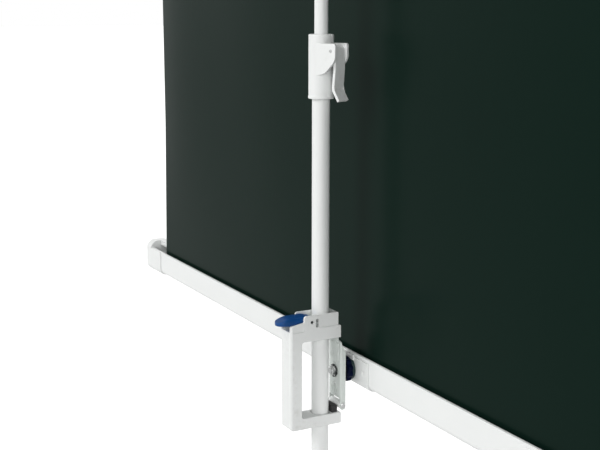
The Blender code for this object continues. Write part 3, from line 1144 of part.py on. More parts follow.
def roller_spring(case):
    """The torsion spring round the rod. Its inner end closes on the rod and its outer end on the tube."""
    on_rod = ROD_RADIUS + COIL_WIRE + SEAT
    on_tube = ROLLER_RADIUS - ROLLER_WALL - COIL_WIRE - SEAT
    count = COIL_TURNS * COIL_POINTS
    spots = []
    for k in range(count + 1):
        from_start, from_end = min(1, k / COIL_POINTS), min(1, (count - k) / COIL_POINTS)
        radius = COIL_RADIUS + (on_tube - COIL_RADIUS) * (1 - from_start) + (on_rod - COIL_RADIUS) * (1 - from_end)
        angle = math.tau * k / COIL_POINTS
        spots.append((CASE_HALF - COIL_INSET - COIL_LENGTH * k / count, radius * math.cos(angle), radius * math.sin(angle)))
    print_least_gap("roller spring", spots, COIL_WIRE, COIL_POINTS)
    spring = wire("roller_spring", spots, COIL_WIRE, STEEL, 0)
    seat(spring, case, (0, ROLLER_Y, ROLLER_HEIGHT))


def fabric_and_slat(case):
    axis = empty("slat_axis", case, Vector((0, FABRIC_Y, SLAT_BOTTOM)) - case.location)
    top = SLAT_BOTTOM + SLAT_HEIGHT / 2
    cloth = block("screen_fabric", (-FABRIC_HALF, -FABRIC_THICK / 2, ROLLER_HEIGHT), (FABRIC_HALF, FABRIC_THICK / 2, top),
                  BLACK_FABRIC)
    put(cloth, axis, (0, 0, (ROLLER_HEIGHT + top) / 2 - SLAT_BOTTOM))
    hollow = SLAT_ROUND - SLAT_WALL
    slat = flat("top_slat", [rectangle(SLAT_DEPTH / 2, SLAT_HEIGHT / 2, SLAT_ROUND),
                             rectangle(SLAT_DEPTH / 2 - SLAT_WALL, SLAT_HEIGHT / 2 - SLAT_WALL, hollow)],
                SLAT_HALF * 2, WHITE_PAINT)
    put(slat, axis, (0, 0, SLAT_HEIGHT / 2), SIDE_ON)
    groove_half, groove_length = SLAT_WALL + SEAT, (SLAT_HALF + OVERRUN) * 2
    groove = block("slat_groove", (0, 0, -groove_half), (groove_length, FABRIC_THICK + SEAT * 2, groove_half), None)
    put(groove, axis)
    cut(slat, groove)
    for side, name in ((-1, "slat_cap_1"), (1, "slat_cap_2")):
        cap = flat(name, [rectangle(SLAT_DEPTH / 2, SLAT_HEIGHT / 2, SLAT_ROUND)], SLAT_CAP, BLUE_PLASTIC)
        put(cap, axis, ((SLAT_HALF + SEAT + SLAT_CAP / 2) * side, 0, SLAT_HEIGHT / 2), SIDE_ON)
        soften(cap, SLAT_CAP_EDGE)
        inset = SLAT_WALL + SEAT
        spigot = flat(f"{name}_spigot", [rectangle(SLAT_DEPTH / 2 - inset, SLAT_HEIGHT / 2 - inset, hollow - SEAT)],
                      SLAT_SPIGOT + SLAT_CAP, None)
        put(spigot, axis, ((SLAT_HALF - SLAT_SPIGOT / 2) * side, 0, SLAT_HEIGHT / 2), SIDE_ON)
        join(cap, spigot)
    slat_loop(axis, slat)


def slat_loop(axis, slat):
    """The wire loop that hangs the slat on the mast's hook, cranked back behind the fabric."""
    low = SLAT_HEIGHT - LOOP_TAIL
    back = LOOP_BACK - FABRIC_Y
    side_view = rounded([(0, low), (0, SLAT_HEIGHT + LOOP_NECK, LOOP_ROUND),
                         (back, SLAT_HEIGHT + LOOP_RISE)], closed=False)
    rise = [(LOOP_HALF, p.x, p.y) for p in side_view[:-1]]
    corner = [Vector((LOOP_HALF, *side_view[-2])), Vector((LOOP_HALF, *side_view[-1])),
              Vector((-LOOP_HALF, *side_view[-1]))]
    turn = []
    for k in range(ARC_STEPS + 1):
        share = k / ARC_STEPS
        start = corner[1] + (corner[0] - corner[1]).normalized() * LOOP_ROUND
        end = corner[1] + (corner[2] - corner[1]).normalized() * LOOP_ROUND
        turn.append((start * (1 - share) ** 2 + corner[1] * 2 * share * (1 - share) + end * share ** 2)[:])
    half_loop = rise + turn
    spots = half_loop + [(-x, y, z) for x, y, z in half_loop[::-1]]
    put(wire("slat_loop", spots, LOOP_WIRE, STEEL, 1), axis)
    for side in (-1, 1):
        hole = rod(f"slat_loop_bore_{side}", LOOP_WIRE + SEAT, (SLAT_WALL + SEAT) * 2, None)
        put(hole, axis, (LOOP_HALF * side, 0, SLAT_HEIGHT))
        cut(slat, hole)


STAND = empty("stand", location=(0, MAST_Y, 0))
outer_tube()
extension_mast()
tripod()
flip_lock()
carriage()
CASE = case_assembly()
roller(CASE)
fabric_and_slat(CASE)
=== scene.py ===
import json
import math

import bmesh
import bpy
from mathutils import Euler, Matrix, Vector

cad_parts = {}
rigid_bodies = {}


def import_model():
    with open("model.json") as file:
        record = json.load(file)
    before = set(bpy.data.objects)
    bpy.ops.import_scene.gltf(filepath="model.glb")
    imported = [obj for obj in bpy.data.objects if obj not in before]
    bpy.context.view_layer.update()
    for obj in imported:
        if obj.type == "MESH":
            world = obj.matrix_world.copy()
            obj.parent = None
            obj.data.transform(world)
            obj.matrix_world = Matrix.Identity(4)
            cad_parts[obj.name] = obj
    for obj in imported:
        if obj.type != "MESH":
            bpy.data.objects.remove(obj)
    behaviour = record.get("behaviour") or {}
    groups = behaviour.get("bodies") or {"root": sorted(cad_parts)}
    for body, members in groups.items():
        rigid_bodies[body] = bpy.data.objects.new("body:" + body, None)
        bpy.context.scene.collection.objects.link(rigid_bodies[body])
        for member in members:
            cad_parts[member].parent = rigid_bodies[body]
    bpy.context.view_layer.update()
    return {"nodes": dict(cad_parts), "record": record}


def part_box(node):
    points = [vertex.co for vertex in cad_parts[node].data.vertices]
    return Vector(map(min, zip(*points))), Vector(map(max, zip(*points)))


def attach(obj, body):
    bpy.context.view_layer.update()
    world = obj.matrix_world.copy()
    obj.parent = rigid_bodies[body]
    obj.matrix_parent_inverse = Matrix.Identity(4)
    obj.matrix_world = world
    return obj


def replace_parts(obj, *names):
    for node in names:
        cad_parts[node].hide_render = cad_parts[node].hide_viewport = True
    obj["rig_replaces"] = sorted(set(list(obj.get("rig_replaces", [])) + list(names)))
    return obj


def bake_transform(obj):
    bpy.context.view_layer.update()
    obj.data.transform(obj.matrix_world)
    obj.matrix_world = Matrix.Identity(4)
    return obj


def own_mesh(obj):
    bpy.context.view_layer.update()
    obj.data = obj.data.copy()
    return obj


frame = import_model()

# Metres, +Z up, the audience on the -Y side. Pieces that hang on the mast are placed from its axis.
FLOOR_HALF = 60.0
SMOOTH_ANGLE = math.radians(32)

# Sides of a full turn, and of one rounded corner
FINE = 64
ARC = 10

# The gap between parts that are pressed or pushed together
SEAT = 0.0003

STAND_LOW, STAND_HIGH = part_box("outer_tube")
MAST_Y = (STAND_LOW.y + STAND_HIGH.y) / 2
TUBE_LOW, TUBE_TOP = STAND_LOW.z, STAND_HIGH.z
MAST_LOW, MAST_TOP = (corner.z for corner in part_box("extension_tube"))
RIM = 1.120  # the upper edge of the case's back
LOCK_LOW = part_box("lock_collar")[0].z
CASE_BACK = MAST_Y - 0.052
FABRIC_Y = sum(corner.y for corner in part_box("screen_fabric")) / 2
ROLLER_Y = sum(corner.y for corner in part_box("roller_tube")) / 2
ROLLER_Z = sum(corner.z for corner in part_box("roller_tube")) / 2
SLAT_LOW, SLAT_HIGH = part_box("top_slat")
PIVOT_DROP = 0.024
PIVOT_Z = RIM - PIVOT_DROP

# Radii of what is drilled for pins, screws, rivets and the pivot bolt
PIN, SCREW, RIVET, BOLT = 0.0021, 0.0019, 0.0028, 0.0043

SIDE_ON = Euler((math.pi / 2, 0, math.pi / 2)).to_matrix().to_4x4()
FACE_ON = Euler((math.pi / 2, 0, 0)).to_matrix().to_4x4()
ALONG_X = Euler((0, math.pi / 2, 0)).to_matrix().to_4x4()
ALONG_Y = Euler((-math.pi / 2, 0, 0)).to_matrix().to_4x4()


def at(x, y, z, turn=Matrix()):
    return Matrix.Translation((x, y, z)) @ turn


def on_circle(angle):
    return Vector((math.cos(angle), math.sin(angle)))


ON_MAST = at(0, MAST_Y, RIM)


# Materials

def node_tree(name):
    made = bpy.data.materials.new(name)
    made.use_nodes = True
    tree = made.node_tree
    shader = tree.nodes["Principled BSDF"]
    place = tree.nodes.new("ShaderNodeTexCoord")
    return made, tree, shader, place.outputs["Object"]


def noise(tree, spot, scale, detail=3.0, stretch=(1, 1, 1)):
    mapping = tree.nodes.new("ShaderNodeMapping")
    mapping.inputs["Scale"].default_value = stretch
    tree.links.new(spot, mapping.inputs["Vector"])
    made = tree.nodes.new("ShaderNodeTexNoise")
    made.inputs["Scale"].default_value = scale
    made.inputs["Detail"].default_value = detail
    tree.links.new(mapping.outputs["Vector"], made.inputs["Vector"])
    return made.outputs["Fac"]


def ranged(tree, value, low, high, start=0.3, end=0.7):
    made = tree.nodes.new("ShaderNodeMapRange")
    for key, number in (("From Min", start), ("From Max", end), ("To Min", low), ("To Max", high)):
        made.inputs[key].default_value = number
    tree.links.new(value, made.inputs["Value"])
    return made.outputs["Result"]


def blended(tree, factor, first, second):
    made = tree.nodes.new("ShaderNodeMix")
    made.data_type = "RGBA"
    for key, colour in ((6, first), (7, second)):
        if isinstance(colour, tuple):
            made.inputs[key].default_value = (*colour, 1)
        else:
            tree.links.new(colour, made.inputs[key])
    tree.links.new(factor, made.inputs[0])
    return made.outputs[2]


def shade(colour, share):
    return tuple(c * share for c in colour)


def bump(tree, shader, *heights):
    """Chains bumps, each a height with its distance in metres."""
    last = None
    for height, distance in heights:
        made = tree.nodes.new("ShaderNodeBump")
        made.inputs["Strength"].default_value = 1.0
        made.inputs["Distance"].default_value = distance
        tree.links.new(height, made.inputs["Height"])
        if last is not None:
            tree.links.new(last, made.inputs["Normal"])
        last = made.outputs["Normal"]
    tree.links.new(last, shader.inputs["Normal"])


def surface(name, colour, rough, metal=0.0, grain=1200.0, depth=0.00001, cloud=14.0, vary=0.03,
            coat=0.0, wear=None, specular=0.5):
    """A moulded, painted or plated finish: clouded colour, uneven gloss, a fine grain and worn edges."""
    made, tree, shader, spot = node_tree(name)
    clouds = noise(tree, spot, cloud, 4.0)
    tone = blended(tree, ranged(tree, clouds, 0, 1), shade(colour, 1 - vary), shade(colour, 1 + vary))
    if wear:
        edges = tree.nodes.new("ShaderNodeNewGeometry").outputs["Pointiness"]
        patches = ranged(tree, noise(tree, spot, 160.0), 0, 1, 0.45, 0.75)
        rubbed = tree.nodes.new("ShaderNodeMath")
        rubbed.operation = "MULTIPLY"
        tree.links.new(ranged(tree, edges, 0, 1, 0.53, 0.6), rubbed.inputs[0])
        tree.links.new(patches, rubbed.inputs[1])
        tone = blended(tree, rubbed.outputs["Value"], tone, wear)
    tree.links.new(tone, shader.inputs["Base Color"])
    uneven = noise(tree, spot, cloud * 5)
    tree.links.new(ranged(tree, uneven, rough * 0.88, rough * 1.12), shader.inputs["Roughness"])
    shader.inputs["Metallic"].default_value = metal
    shader.inputs["Coat Weight"].default_value = coat
    shader.inputs["Specular IOR Level"].default_value = specular
    bump(tree, shader, (noise(tree, spot, grain, 2.0), depth))
    return made


def wave(tree, spot, scale, direction):
    made = tree.nodes.new("ShaderNodeTexWave")
    made.bands_direction = direction
    made.wave_profile = "SIN"
    made.inputs["Scale"].default_value = scale
    tree.links.new(spot, made.inputs["Vector"])
    return made.outputs["Fac"]


def cloth(name, colour, rough, specular, weave=0.000012, ribs=0.0, tint=None):
    """A coated fabric: a fine weave under the coating, faint ribs along its length, and a clouded tone."""
    made, tree, shader, spot = node_tree(name)
    clouds = noise(tree, spot, 2.5, 5.0)
    threads = noise(tree, spot, 260.0, 2.0, (1, 1, 0.06))
    tone = blended(tree, ranged(tree, clouds, 0, 1), shade(colour, 0.94), shade(colour, 1.06))
    tone = blended(tree, ranged(tree, threads, 0, 1, 0.35, 0.65), tone, shade(colour, 1.03))
    tree.links.new(tone, shader.inputs["Base Color"])
    uneven = ranged(tree, noise(tree, spot, 30.0), rough * 0.93, rough * 1.07)
    tree.links.new(uneven, shader.inputs["Roughness"])
    shader.inputs["Specular IOR Level"].default_value = specular
    if tint:
        shader.inputs["Specular Tint"].default_value = (*tint, 1)
    heights = [(wave(tree, spot, 330.0, "X"), weave), (wave(tree, spot, 330.0, "Z"), weave)]
    if ribs:
        heights.append((threads, ribs))
    bump(tree, shader, *heights)
    return made


FINISHES = {
    "white_paint": dict(colour=(0.80, 0.815, 0.805), rough=0.34, grain=650.0, depth=0.000006, vary=0.008,
                        coat=0.15),
    "white_plastic": dict(colour=(0.79, 0.805, 0.795), rough=0.42, grain=1900.0, cloud=20.0, vary=0.014,
                          wear=(0.70, 0.71, 0.69)),
    "grey_plastic": dict(colour=(0.42, 0.46, 0.44), rough=0.5, grain=1900.0),
    "blue_plastic": dict(colour=(0.0015, 0.056, 0.215), rough=0.36, grain=1500.0, depth=0.000018, cloud=60.0,
                         vary=0.10, wear=(0.010, 0.10, 0.32), specular=0.28),
    "navy_plastic": dict(colour=(0.0015, 0.004, 0.022), rough=0.34, grain=1500.0, depth=0.000012, cloud=60.0,
                         vary=0.10, wear=(0.006, 0.014, 0.045), specular=0.05),
    "black_rubber": dict(colour=(0.022, 0.022, 0.023), rough=0.78, grain=900.0, depth=0.00003, cloud=50.0,
                         vary=0.25, wear=(0.06, 0.06, 0.06)),
    "black_plastic": dict(colour=(0.025, 0.026, 0.027), rough=0.5, grain=1800.0, cloud=50.0, vary=0.1),
    # dark_disc is painted shade: the knob's shadow painted on the cradle's boss.
    "dark_disc": dict(colour=(0.020, 0.040, 0.042), rough=0.45, grain=1500.0, cloud=50.0, vary=0.12,
                      specular=0.3),
    "steel": dict(colour=(0.56, 0.57, 0.565), rough=0.3, metal=1.0, grain=500.0, depth=0.000008, cloud=90.0,
                  vary=0.10),
    "dark_steel": dict(colour=(0.055, 0.060, 0.060), rough=0.36, metal=1.0, grain=500.0, cloud=90.0,
                       vary=0.2),
    "grey_paint": dict(colour=(0.64, 0.685, 0.655), rough=0.38, grain=700.0, depth=0.000014, cloud=30.0,
                       wear=(0.47, 0.50, 0.48)),
}
CLOTHS = {
    "black_fabric": dict(colour=(0.0042, 0.0130, 0.0094), rough=0.22, specular=0.031, ribs=0.00003,
                         tint=(0.66, 1.0, 0.82)),
    "screen_front": dict(colour=(0.84, 0.845, 0.84), rough=0.9, specular=0.25, weave=0.00002),
    "screen_border": dict(colour=(0.012, 0.012, 0.013), rough=0.7, specular=0.3),
}
MATERIALS = {name: surface(name, **values) for name, values in FINISHES.items()}
MATERIALS |= {name: cloth(name, **values) for name, values in CLOTHS.items()}
SLOTS = {entry["node"]: entry["material_slot"] for entry in frame["record"]["subparts"]}
DARKENED = {"brake_lever_pin": "dark_steel"}


# Outlines

def round_corner(before, corner, after, radius, steps):
    a, b = (before - corner).normalized(), (after - corner).normalized()
    half = a.angle(b) / 2
    centre = corner + (a + b).normalized() * radius / math.sin(half)
    first = corner + a * radius / math.tan(half) - centre
    last = corner + b * radius / math.tan(half) - centre
    start = math.atan2(first.y, first.x)
    sweep = (math.atan2(last.y, last.x) - start + math.pi) % math.tau - math.pi
    return [centre + on_circle(start + sweep * k / steps) * radius for k in range(steps + 1)]


def rounded(corners, closed=True, steps=ARC):
    """An outline through (x, y) or (x, y, radius) corners, with arcs where a radius is given."""
    spots = [Vector(c[:2]) for c in corners]
    out = []
    for i, corner in enumerate(corners):
        radius = corner[2] if len(corner) > 2 else 0
        if radius and (closed or 0 < i < len(spots) - 1):
            out += round_corner(spots[i - 1], spots[i], spots[(i + 1) % len(spots)], radius, steps)
        else:
            out.append(spots[i])
    return out


def rectangle(half_x, half_y, radius):
    return rounded([(-half_x, -half_y, radius), (half_x, -half_y, radius),
                    (half_x, half_y, radius), (-half_x, half_y, radius)])


def circle(radius, steps=FINE):
    return [on_circle(math.tau * k / steps) * radius for k in range(steps)]


def offset(path, distance, closed=False):
    """The path moved to its left by that distance, with mitred corners."""
    out = []
    for i, spot in enumerate(path):
        sides = []
        if closed or i:
            sides.append((spot - path[i - 1]).normalized())
        if closed or i < len(path) - 1:
            sides.append((path[(i + 1) % len(path)] - spot).normalized())
        lefts = [Vector((-s.y, s.x)) for s in sides]
        total = sum(lefts[1:], lefts[0])
        out.append(spot + total * distance * len(lefts) / total.dot(total))
    return out


def strip(path, near, far):
    return offset(path, near) + offset(path, far)[::-1]


# Meshes

def from_curve(curve):
    holder = bpy.data.objects.new(curve.name, curve)
    bpy.context.scene.collection.objects.link(holder)
    graph = bpy.context.evaluated_depsgraph_get()
    mesh = bpy.data.meshes.new_from_object(holder.evaluated_get(graph))
    bpy.data.objects.remove(holder)
    bpy.data.curves.remove(curve)
    work = bmesh.new()
    work.from_mesh(mesh)
    bmesh.ops.remove_doubles(work, verts=work.verts, dist=0.000001)
    bmesh.ops.dissolve_degenerate(work, dist=0.000001, edges=work.edges)
    bmesh.ops.recalc_face_normals(work, faces=work.faces)
    work.to_mesh(mesh)
    work.free()
    return mesh


def plate(loops, depth, edge=0.0):
    """A plate of that depth about its middle, whose rims are rounded by edge."""
    curve = bpy.data.curves.new("outline", "CURVE")
    curve.dimensions = "2D"
    curve.fill_mode = "BOTH"
    curve.extrude = depth / 2 - edge
    curve.bevel_depth = edge
    curve.bevel_resolution = 3
    curve.offset = -edge
    for loop in loops:
        spline = curve.splines.new("POLY")
        spline.points.add(len(loop) - 1)
        for point, spot in zip(spline.points, loop):
            point.co = (spot[0], spot[1], 0, 1)
        spline.use_cyclic_u = True
    return from_curve(curve)


def wire(spots, radius, resolution=5):
    curve = bpy.data.curves.new("wire", "CURVE")
    curve.dimensions = "3D"
    curve.bevel_depth = radius
    curve.bevel_resolution = resolution
    curve.use_fill_caps = True
    spline = curve.splines.new("POLY")
    spline.points.add(len(spots) - 1)
    for point, spot in zip(spline.points, spots):
        point.co = (*spot, 1)
    return from_curve(curve)


def rings_mesh(rings, closed=False, capped=False):
    """Joins rings of points into a skin. A ring of one point is a pole."""
    work = bmesh.new()
    rows = [[work.verts.new(spot) for spot in ring] for ring in rings]
    pairs = list(zip(rows, rows[1:])) + ([(rows[-1], rows[0])] if closed else [])
    for a, b in pairs:
        for k in range(max(len(a), len(b))):
            j = k + 1
            corners = [a[k % len(a)], a[j % len(a)], b[j % len(b)], b[k % len(b)]]
            distinct = list(dict.fromkeys(corners))
            if len(distinct) > 2:
                work.faces.new(distinct)
    if capped:
        work.faces.new(rows[0])
        work.faces.new(rows[-1])
    bmesh.ops.recalc_face_normals(work, faces=work.faces)
    mesh = bpy.data.meshes.new("skin")
    work.to_mesh(mesh)
    work.free()
    return mesh


def lathe(profile, steps=FINE, closed=False):
    """A profile of (radius, height, rounding) corners turned about Z."""
    line = rounded(profile, closed=closed, steps=4)
    rings = []
    for r, z in line:
        if r < 0.0000001:
            rings.append([(0, 0, z)])
        else:
            rings.append([(r * math.cos(math.tau * k / steps), r * math.sin(math.tau * k / steps), z)
                          for k in range(steps)])
    return rings_mesh(rings, closed)


def box_mesh(low, high, edge=0.0):
    low, high = Vector(low), Vector(high)
    work = bmesh.new()
    bmesh.ops.create_cube(work, size=1)
    bmesh.ops.scale(work, vec=high - low, verts=work.verts)
    bmesh.ops.translate(work, vec=(low + high) / 2, verts=work.verts)
    if edge:
        bmesh.ops.bevel(work, geom=work.edges[:], offset=edge, segments=3, profile=0.5, affect="EDGES")
    mesh = bpy.data.meshes.new("box")
    work.to_mesh(mesh)
    work.free()
    return mesh


def bar(radius, length, steps=FINE):
    return lathe([(0, length / 2), (radius, length / 2), (radius, -length / 2), (0, -length / 2)], steps)


def placed(mesh, place):
    mesh.transform(place)
    return mesh


def rod(radius, length, spot, turn, steps=32):
    return placed(bar(radius, length, steps), at(*spot, turn))


def shaped(mesh, joins=(), cuts=(), bevel=0.0):
    """The mesh with others joined to it and cut from it, and its sharp edges rounded."""
    item = bpy.data.objects.new("work", mesh)
    bpy.context.scene.collection.objects.link(item)
    tools = []
    for operation, group in (("UNION", joins), ("DIFFERENCE", cuts)):
        for tool_mesh in group:
            tool = bpy.data.objects.new("tool", tool_mesh)
            bpy.context.scene.collection.objects.link(tool)
            tools.append(tool)
            step = item.modifiers.new("solid", "BOOLEAN")
            step.operation = operation
            step.solver = "EXACT"
            step.object = tool
    if bevel:
        step = item.modifiers.new("flatten", "DECIMATE")
        step.decimate_type = "DISSOLVE"
        step.angle_limit = math.radians(1)
        step = item.modifiers.new("edges", "BEVEL")
        step.width = bevel
        step.segments = 3
        step.limit_method = "ANGLE"
        step.angle_limit = math.radians(40)
    graph = bpy.context.evaluated_depsgraph_get()
    made = bpy.data.meshes.new_from_object(item.evaluated_get(graph))
    for used in (item, *tools):
        bpy.data.objects.remove(used)
    return made


def piece(name, mesh, finish, body, *nodes, place=None, finished=False):
    """A visible piece that rides on a body and stands for its CAD nodes."""
    if place is not None:
        mesh.transform(place)
    item = bpy.data.objects.new(name, mesh)
    bpy.context.scene.collection.objects.link(item)
    mesh.name = name
    if not finished:
        mesh.materials.clear()
        mesh.materials.append(MATERIALS[finish])
    mesh.shade_smooth()
    mesh.set_sharp_from_angle(angle=SMOOTH_ANGLE)
    normals = item.modifiers.new("normals", "WEIGHTED_NORMAL")
    normals.keep_sharp = True
    if body:
        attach(item, body)
    if nodes:
        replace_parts(item, *nodes)
    return item


def two_tone(mesh, first, second, chosen):
    """Gives the second finish to the faces whose middle is chosen, and the first to the others."""
    for finish in (first, second):
        mesh.materials.append(MATERIALS[finish])
    for face in mesh.polygons:
        face.material_index = 1 if chosen(face.center) else 0
    return mesh


def dress(name):
    """A CAD node that stays: procedural finish, rounded edges and smooth shading."""
    item = frame["nodes"][name]
    item.data.materials.clear()
    item.data.materials.append(MATERIALS[DARKENED.get(name, SLOTS[name])])
    weld = item.modifiers.new("weld", "WELD")
    weld.merge_threshold = 0.00001
    flatten = item.modifiers.new("flatten", "DECIMATE")
    flatten.decimate_type = "DISSOLVE"
    flatten.angle_limit = math.radians(1)
    bevel = item.modifiers.new("edges", "BEVEL")
    bevel.width = 0.0003
    bevel.segments = 2
    bevel.limit_method = "ANGLE"
    bevel.angle_limit = math.radians(38)
    normals = item.modifiers.new("normals", "WEIGHTED_NORMAL")
    normals.keep_sharp = True


# Camera

def photo_camera():
    data = bpy.data.cameras.new("photo_view")
    data.lens = 69.68
    data.sensor_width = 36
    camera = bpy.data.objects.new("photo_view", data)
    bpy.context.scene.collection.objects.link(camera)
    camera.location = (-1.41, 0.66425, 1.632)
    camera.rotation_euler = Vector((0.8667, -0.4598, -0.1934)).to_track_quat("-Z", "Y").to_euler()
    bpy.context.scene.camera = camera


# Mast

def tube(name, outer, inner, low, high, body, node):
    edge = 0.0003
    profile = [(outer, high, edge), (outer, low, edge), (inner, low, edge), (inner, high, edge)]
    piece(name, lathe(profile, closed=True), "white_paint", body, node, place=at(0, MAST_Y, 0))


def mast():
    tube("mast_outer_tube", 0.0125, 0.0113, TUBE_LOW, TUBE_TOP, "stand", "outer_tube")
    tube("mast_extension_tube", 0.0095, 0.0085, MAST_LOW, MAST_TOP, "mast", "extension_tube")
    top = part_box("mast_top_cap")[1].z
    radius, bore, foot, roof = 0.0130, 0.0098, top - 0.040, top - 0.005
    cap = lathe([(0, top), (radius, top, 0.0028), (radius, foot, 0.0008), (bore, foot), (bore, roof),
                 (0, roof)])
    hole = rod(PIN, 0.013, (0, -0.013, top - 0.022), ALONG_Y)
    cap = shaped(cap, cuts=[hole])
    piece("mast_cap", cap, "white_plastic", "mast", "mast_top_cap", place=at(0, MAST_Y, 0))


# Flip lock

def flip_lock():
    """The collar's cheeks point to the right of the photo's view. Heights are from the collar's foot."""
    place = at(0, MAST_Y, LOCK_LOW, Matrix.Rotation(math.radians(207), 4, "Z"))
    radius, top, ring, nose = 0.0175, 0.088, 0.0180, 0.0342
    collar = lathe([(0, top), (radius, top, 0.0016), (radius, 0.0045, 0.0006), (ring, 0.0036, 0.0005),
                    (ring, 0, 0.0012), (0, 0)], 96)
    cheek_low, cheek_top = 0.031, 0.076
    outline = rounded([(0, cheek_low), (radius, 0.0355, 0.0175), (nose, 0.0535, 0.0175),
                       (nose, cheek_top, 0.003), (0, cheek_top)])
    cheeks = [placed(plate([outline], 0.005, 0.0008), at(0, 0.0147 * side, 0, FACE_ON)) for side in (-1, 1)]
    past, step, thin, wide = 0.004, 0.045, 0.0098, 0.0128
    bore = lathe([(0, top + past), (thin, top + past), (thin, step), (wide, step), (wide, -past), (0, -past)])
    slit = box_mesh((0, -0.001, cheek_low), (0.035, 0.001, top + past))
    window = box_mesh((0.0047, -0.0053, 0.0612), (0.0222, 0.0053, 0.0708))
    pin_x, pin_z, pin_length = 0.0265, 0.066, 0.0525
    pin = rod(PIN, pin_length, (pin_x, 0, pin_z), ALONG_Y)
    body = shaped(collar, cheeks, [bore, slit, window, pin])
    piece("lock_body", body, "white_plastic", "stand", "lock_collar", place=place)
    thick, blade_wide = 0.004, 0.0238
    inner = rounded([(0.0277, pin_z), (0.0277, 0.041, 0.004), (0.0253, 0.013, 0.003), (0.0345, -0.003)],
                    closed=False, steps=6)
    blade = placed(plate([strip(inner, 0, thick)], blade_wide, 0.0007), FACE_ON)
    cam = rod(0.0058, blade_wide, (0.0257, 0, pin_z), ALONG_Y, FINE)
    hole = rod(PIN, pin_length, (pin_x, 0, pin_z), ALONG_Y)
    piece("lock_flip_lever", shaped(blade, [cam], [hole]), "white_plastic", "lock_lever_body", "lock_lever",
          place=place)


# Carriage. Depths are from the mast's axis and heights from the case's rim.

LEVER_PIN = (0, 0.0216, 0.058)
SCREW_X, SCREW_Z = 0.0048, 0.038
WEB = -0.024
SPACER_Y, SPACER_Z = -0.02835, -0.0735


def handle():
    """The C-shaped moulding that is sleeve, grip and guard."""
    back, half, foot, top, corner, outside = 0.0565, 0.0155, -0.100, 0.068, 0.005, 0.004
    sleeve, ring, arm = -0.022, -0.026, -0.0835
    window_back, window_top = 0.0375, 0.030
    side = rounded([
        (back, foot, 0.006), (back, 0.0555, 0.003), (0.0345, 0.0588, 0.0012), (0.0338, top, 0.0040),
        (sleeve, top, 0.002), (sleeve, 0.048), (ring, 0.048, 0.001), (ring, window_top),
        (window_back, window_top, 0.003), (window_back, arm, 0.003), (-0.027, arm, 0.002),
        (-0.027, foot, 0.002)], steps=8)
    body = shaped(placed(plate([side], half * 2), SIDE_ON), bevel=0.0024)
    recess = rounded([(0.0345, 0.0458, 0.0015), (0.0525, 0.0448, 0.0015), (0.0525, 0.0510, 0.0015),
                      (0.0345, 0.0538, 0.0015)])
    corners, panels = [], []
    for s in (-1, 1):
        turn = round_corner(Vector((half * s, 0)), Vector((half * s, back)), Vector((0, back)), corner, 8)
        away_x, away_y = (half + outside) * s, back + outside
        around = [((half - corner) * s, away_y), (away_x, away_y), (away_x, back - corner)]
        corners.append(placed(plate([turn + around], 0.2), at(0, 0, -0.02)))
        panels.append(placed(plate([recess], 0.0016), at(half * s, 0, 0, SIDE_ON)))
        for low, start, depth, front in ((0.0285, -0.004, 0, 0.0144), (0.0485, 0.0105, 0.0006, 0.0137)):
            wedge = [((half - depth) * s, start), (front * s, -0.030), (away_x, -0.030), (away_x, start)]
            panels.append(placed(plate([wedge], 0.045), at(0, 0, low + 0.0225)))
    bore = plate([rectangle(0.0131, 0.0131, 0.008)], 0.336)
    channel = box_mesh((-0.0124, 0.010, 0.047), (0.0124, 0.0605, 0.072))
    slot = placed(plate([rectangle(0.0023, 0.0065, 0.0022)], 0.035), at(0, 0.0132, 0.056, SIDE_ON))
    pin = rod(0.0024, 0.035, LEVER_PIN, ALONG_X)
    pocket = box_mesh((-0.009, -0.030, 0.026), (0.009, -0.0237, 0.0458))
    screws = [rod(SCREW, 0.0098, (SCREW_X * s, -0.0211, SCREW_Z), ALONG_Y, 24) for s in (-1, 1)]
    body = shaped(body, cuts=[*corners, *panels, bore, channel, slot, pin, pocket, *screws])
    piece("handle_moulding", body, "white_plastic", "carriage", "carriage_handle", place=ON_MAST)


def between(line, x):
    """The height of a line of points at x."""
    for a, b in zip(line, line[1:]):
        low, high = (a, b) if a.x <= b.x else (b, a)
        if low.x <= x <= high.x and high.x > low.x:
            return low.y + (high.y - low.y) * (x - low.x) / (high.x - low.x)
    nearest = min(line, key=lambda spot: abs(spot.x - x))
    return nearest.y


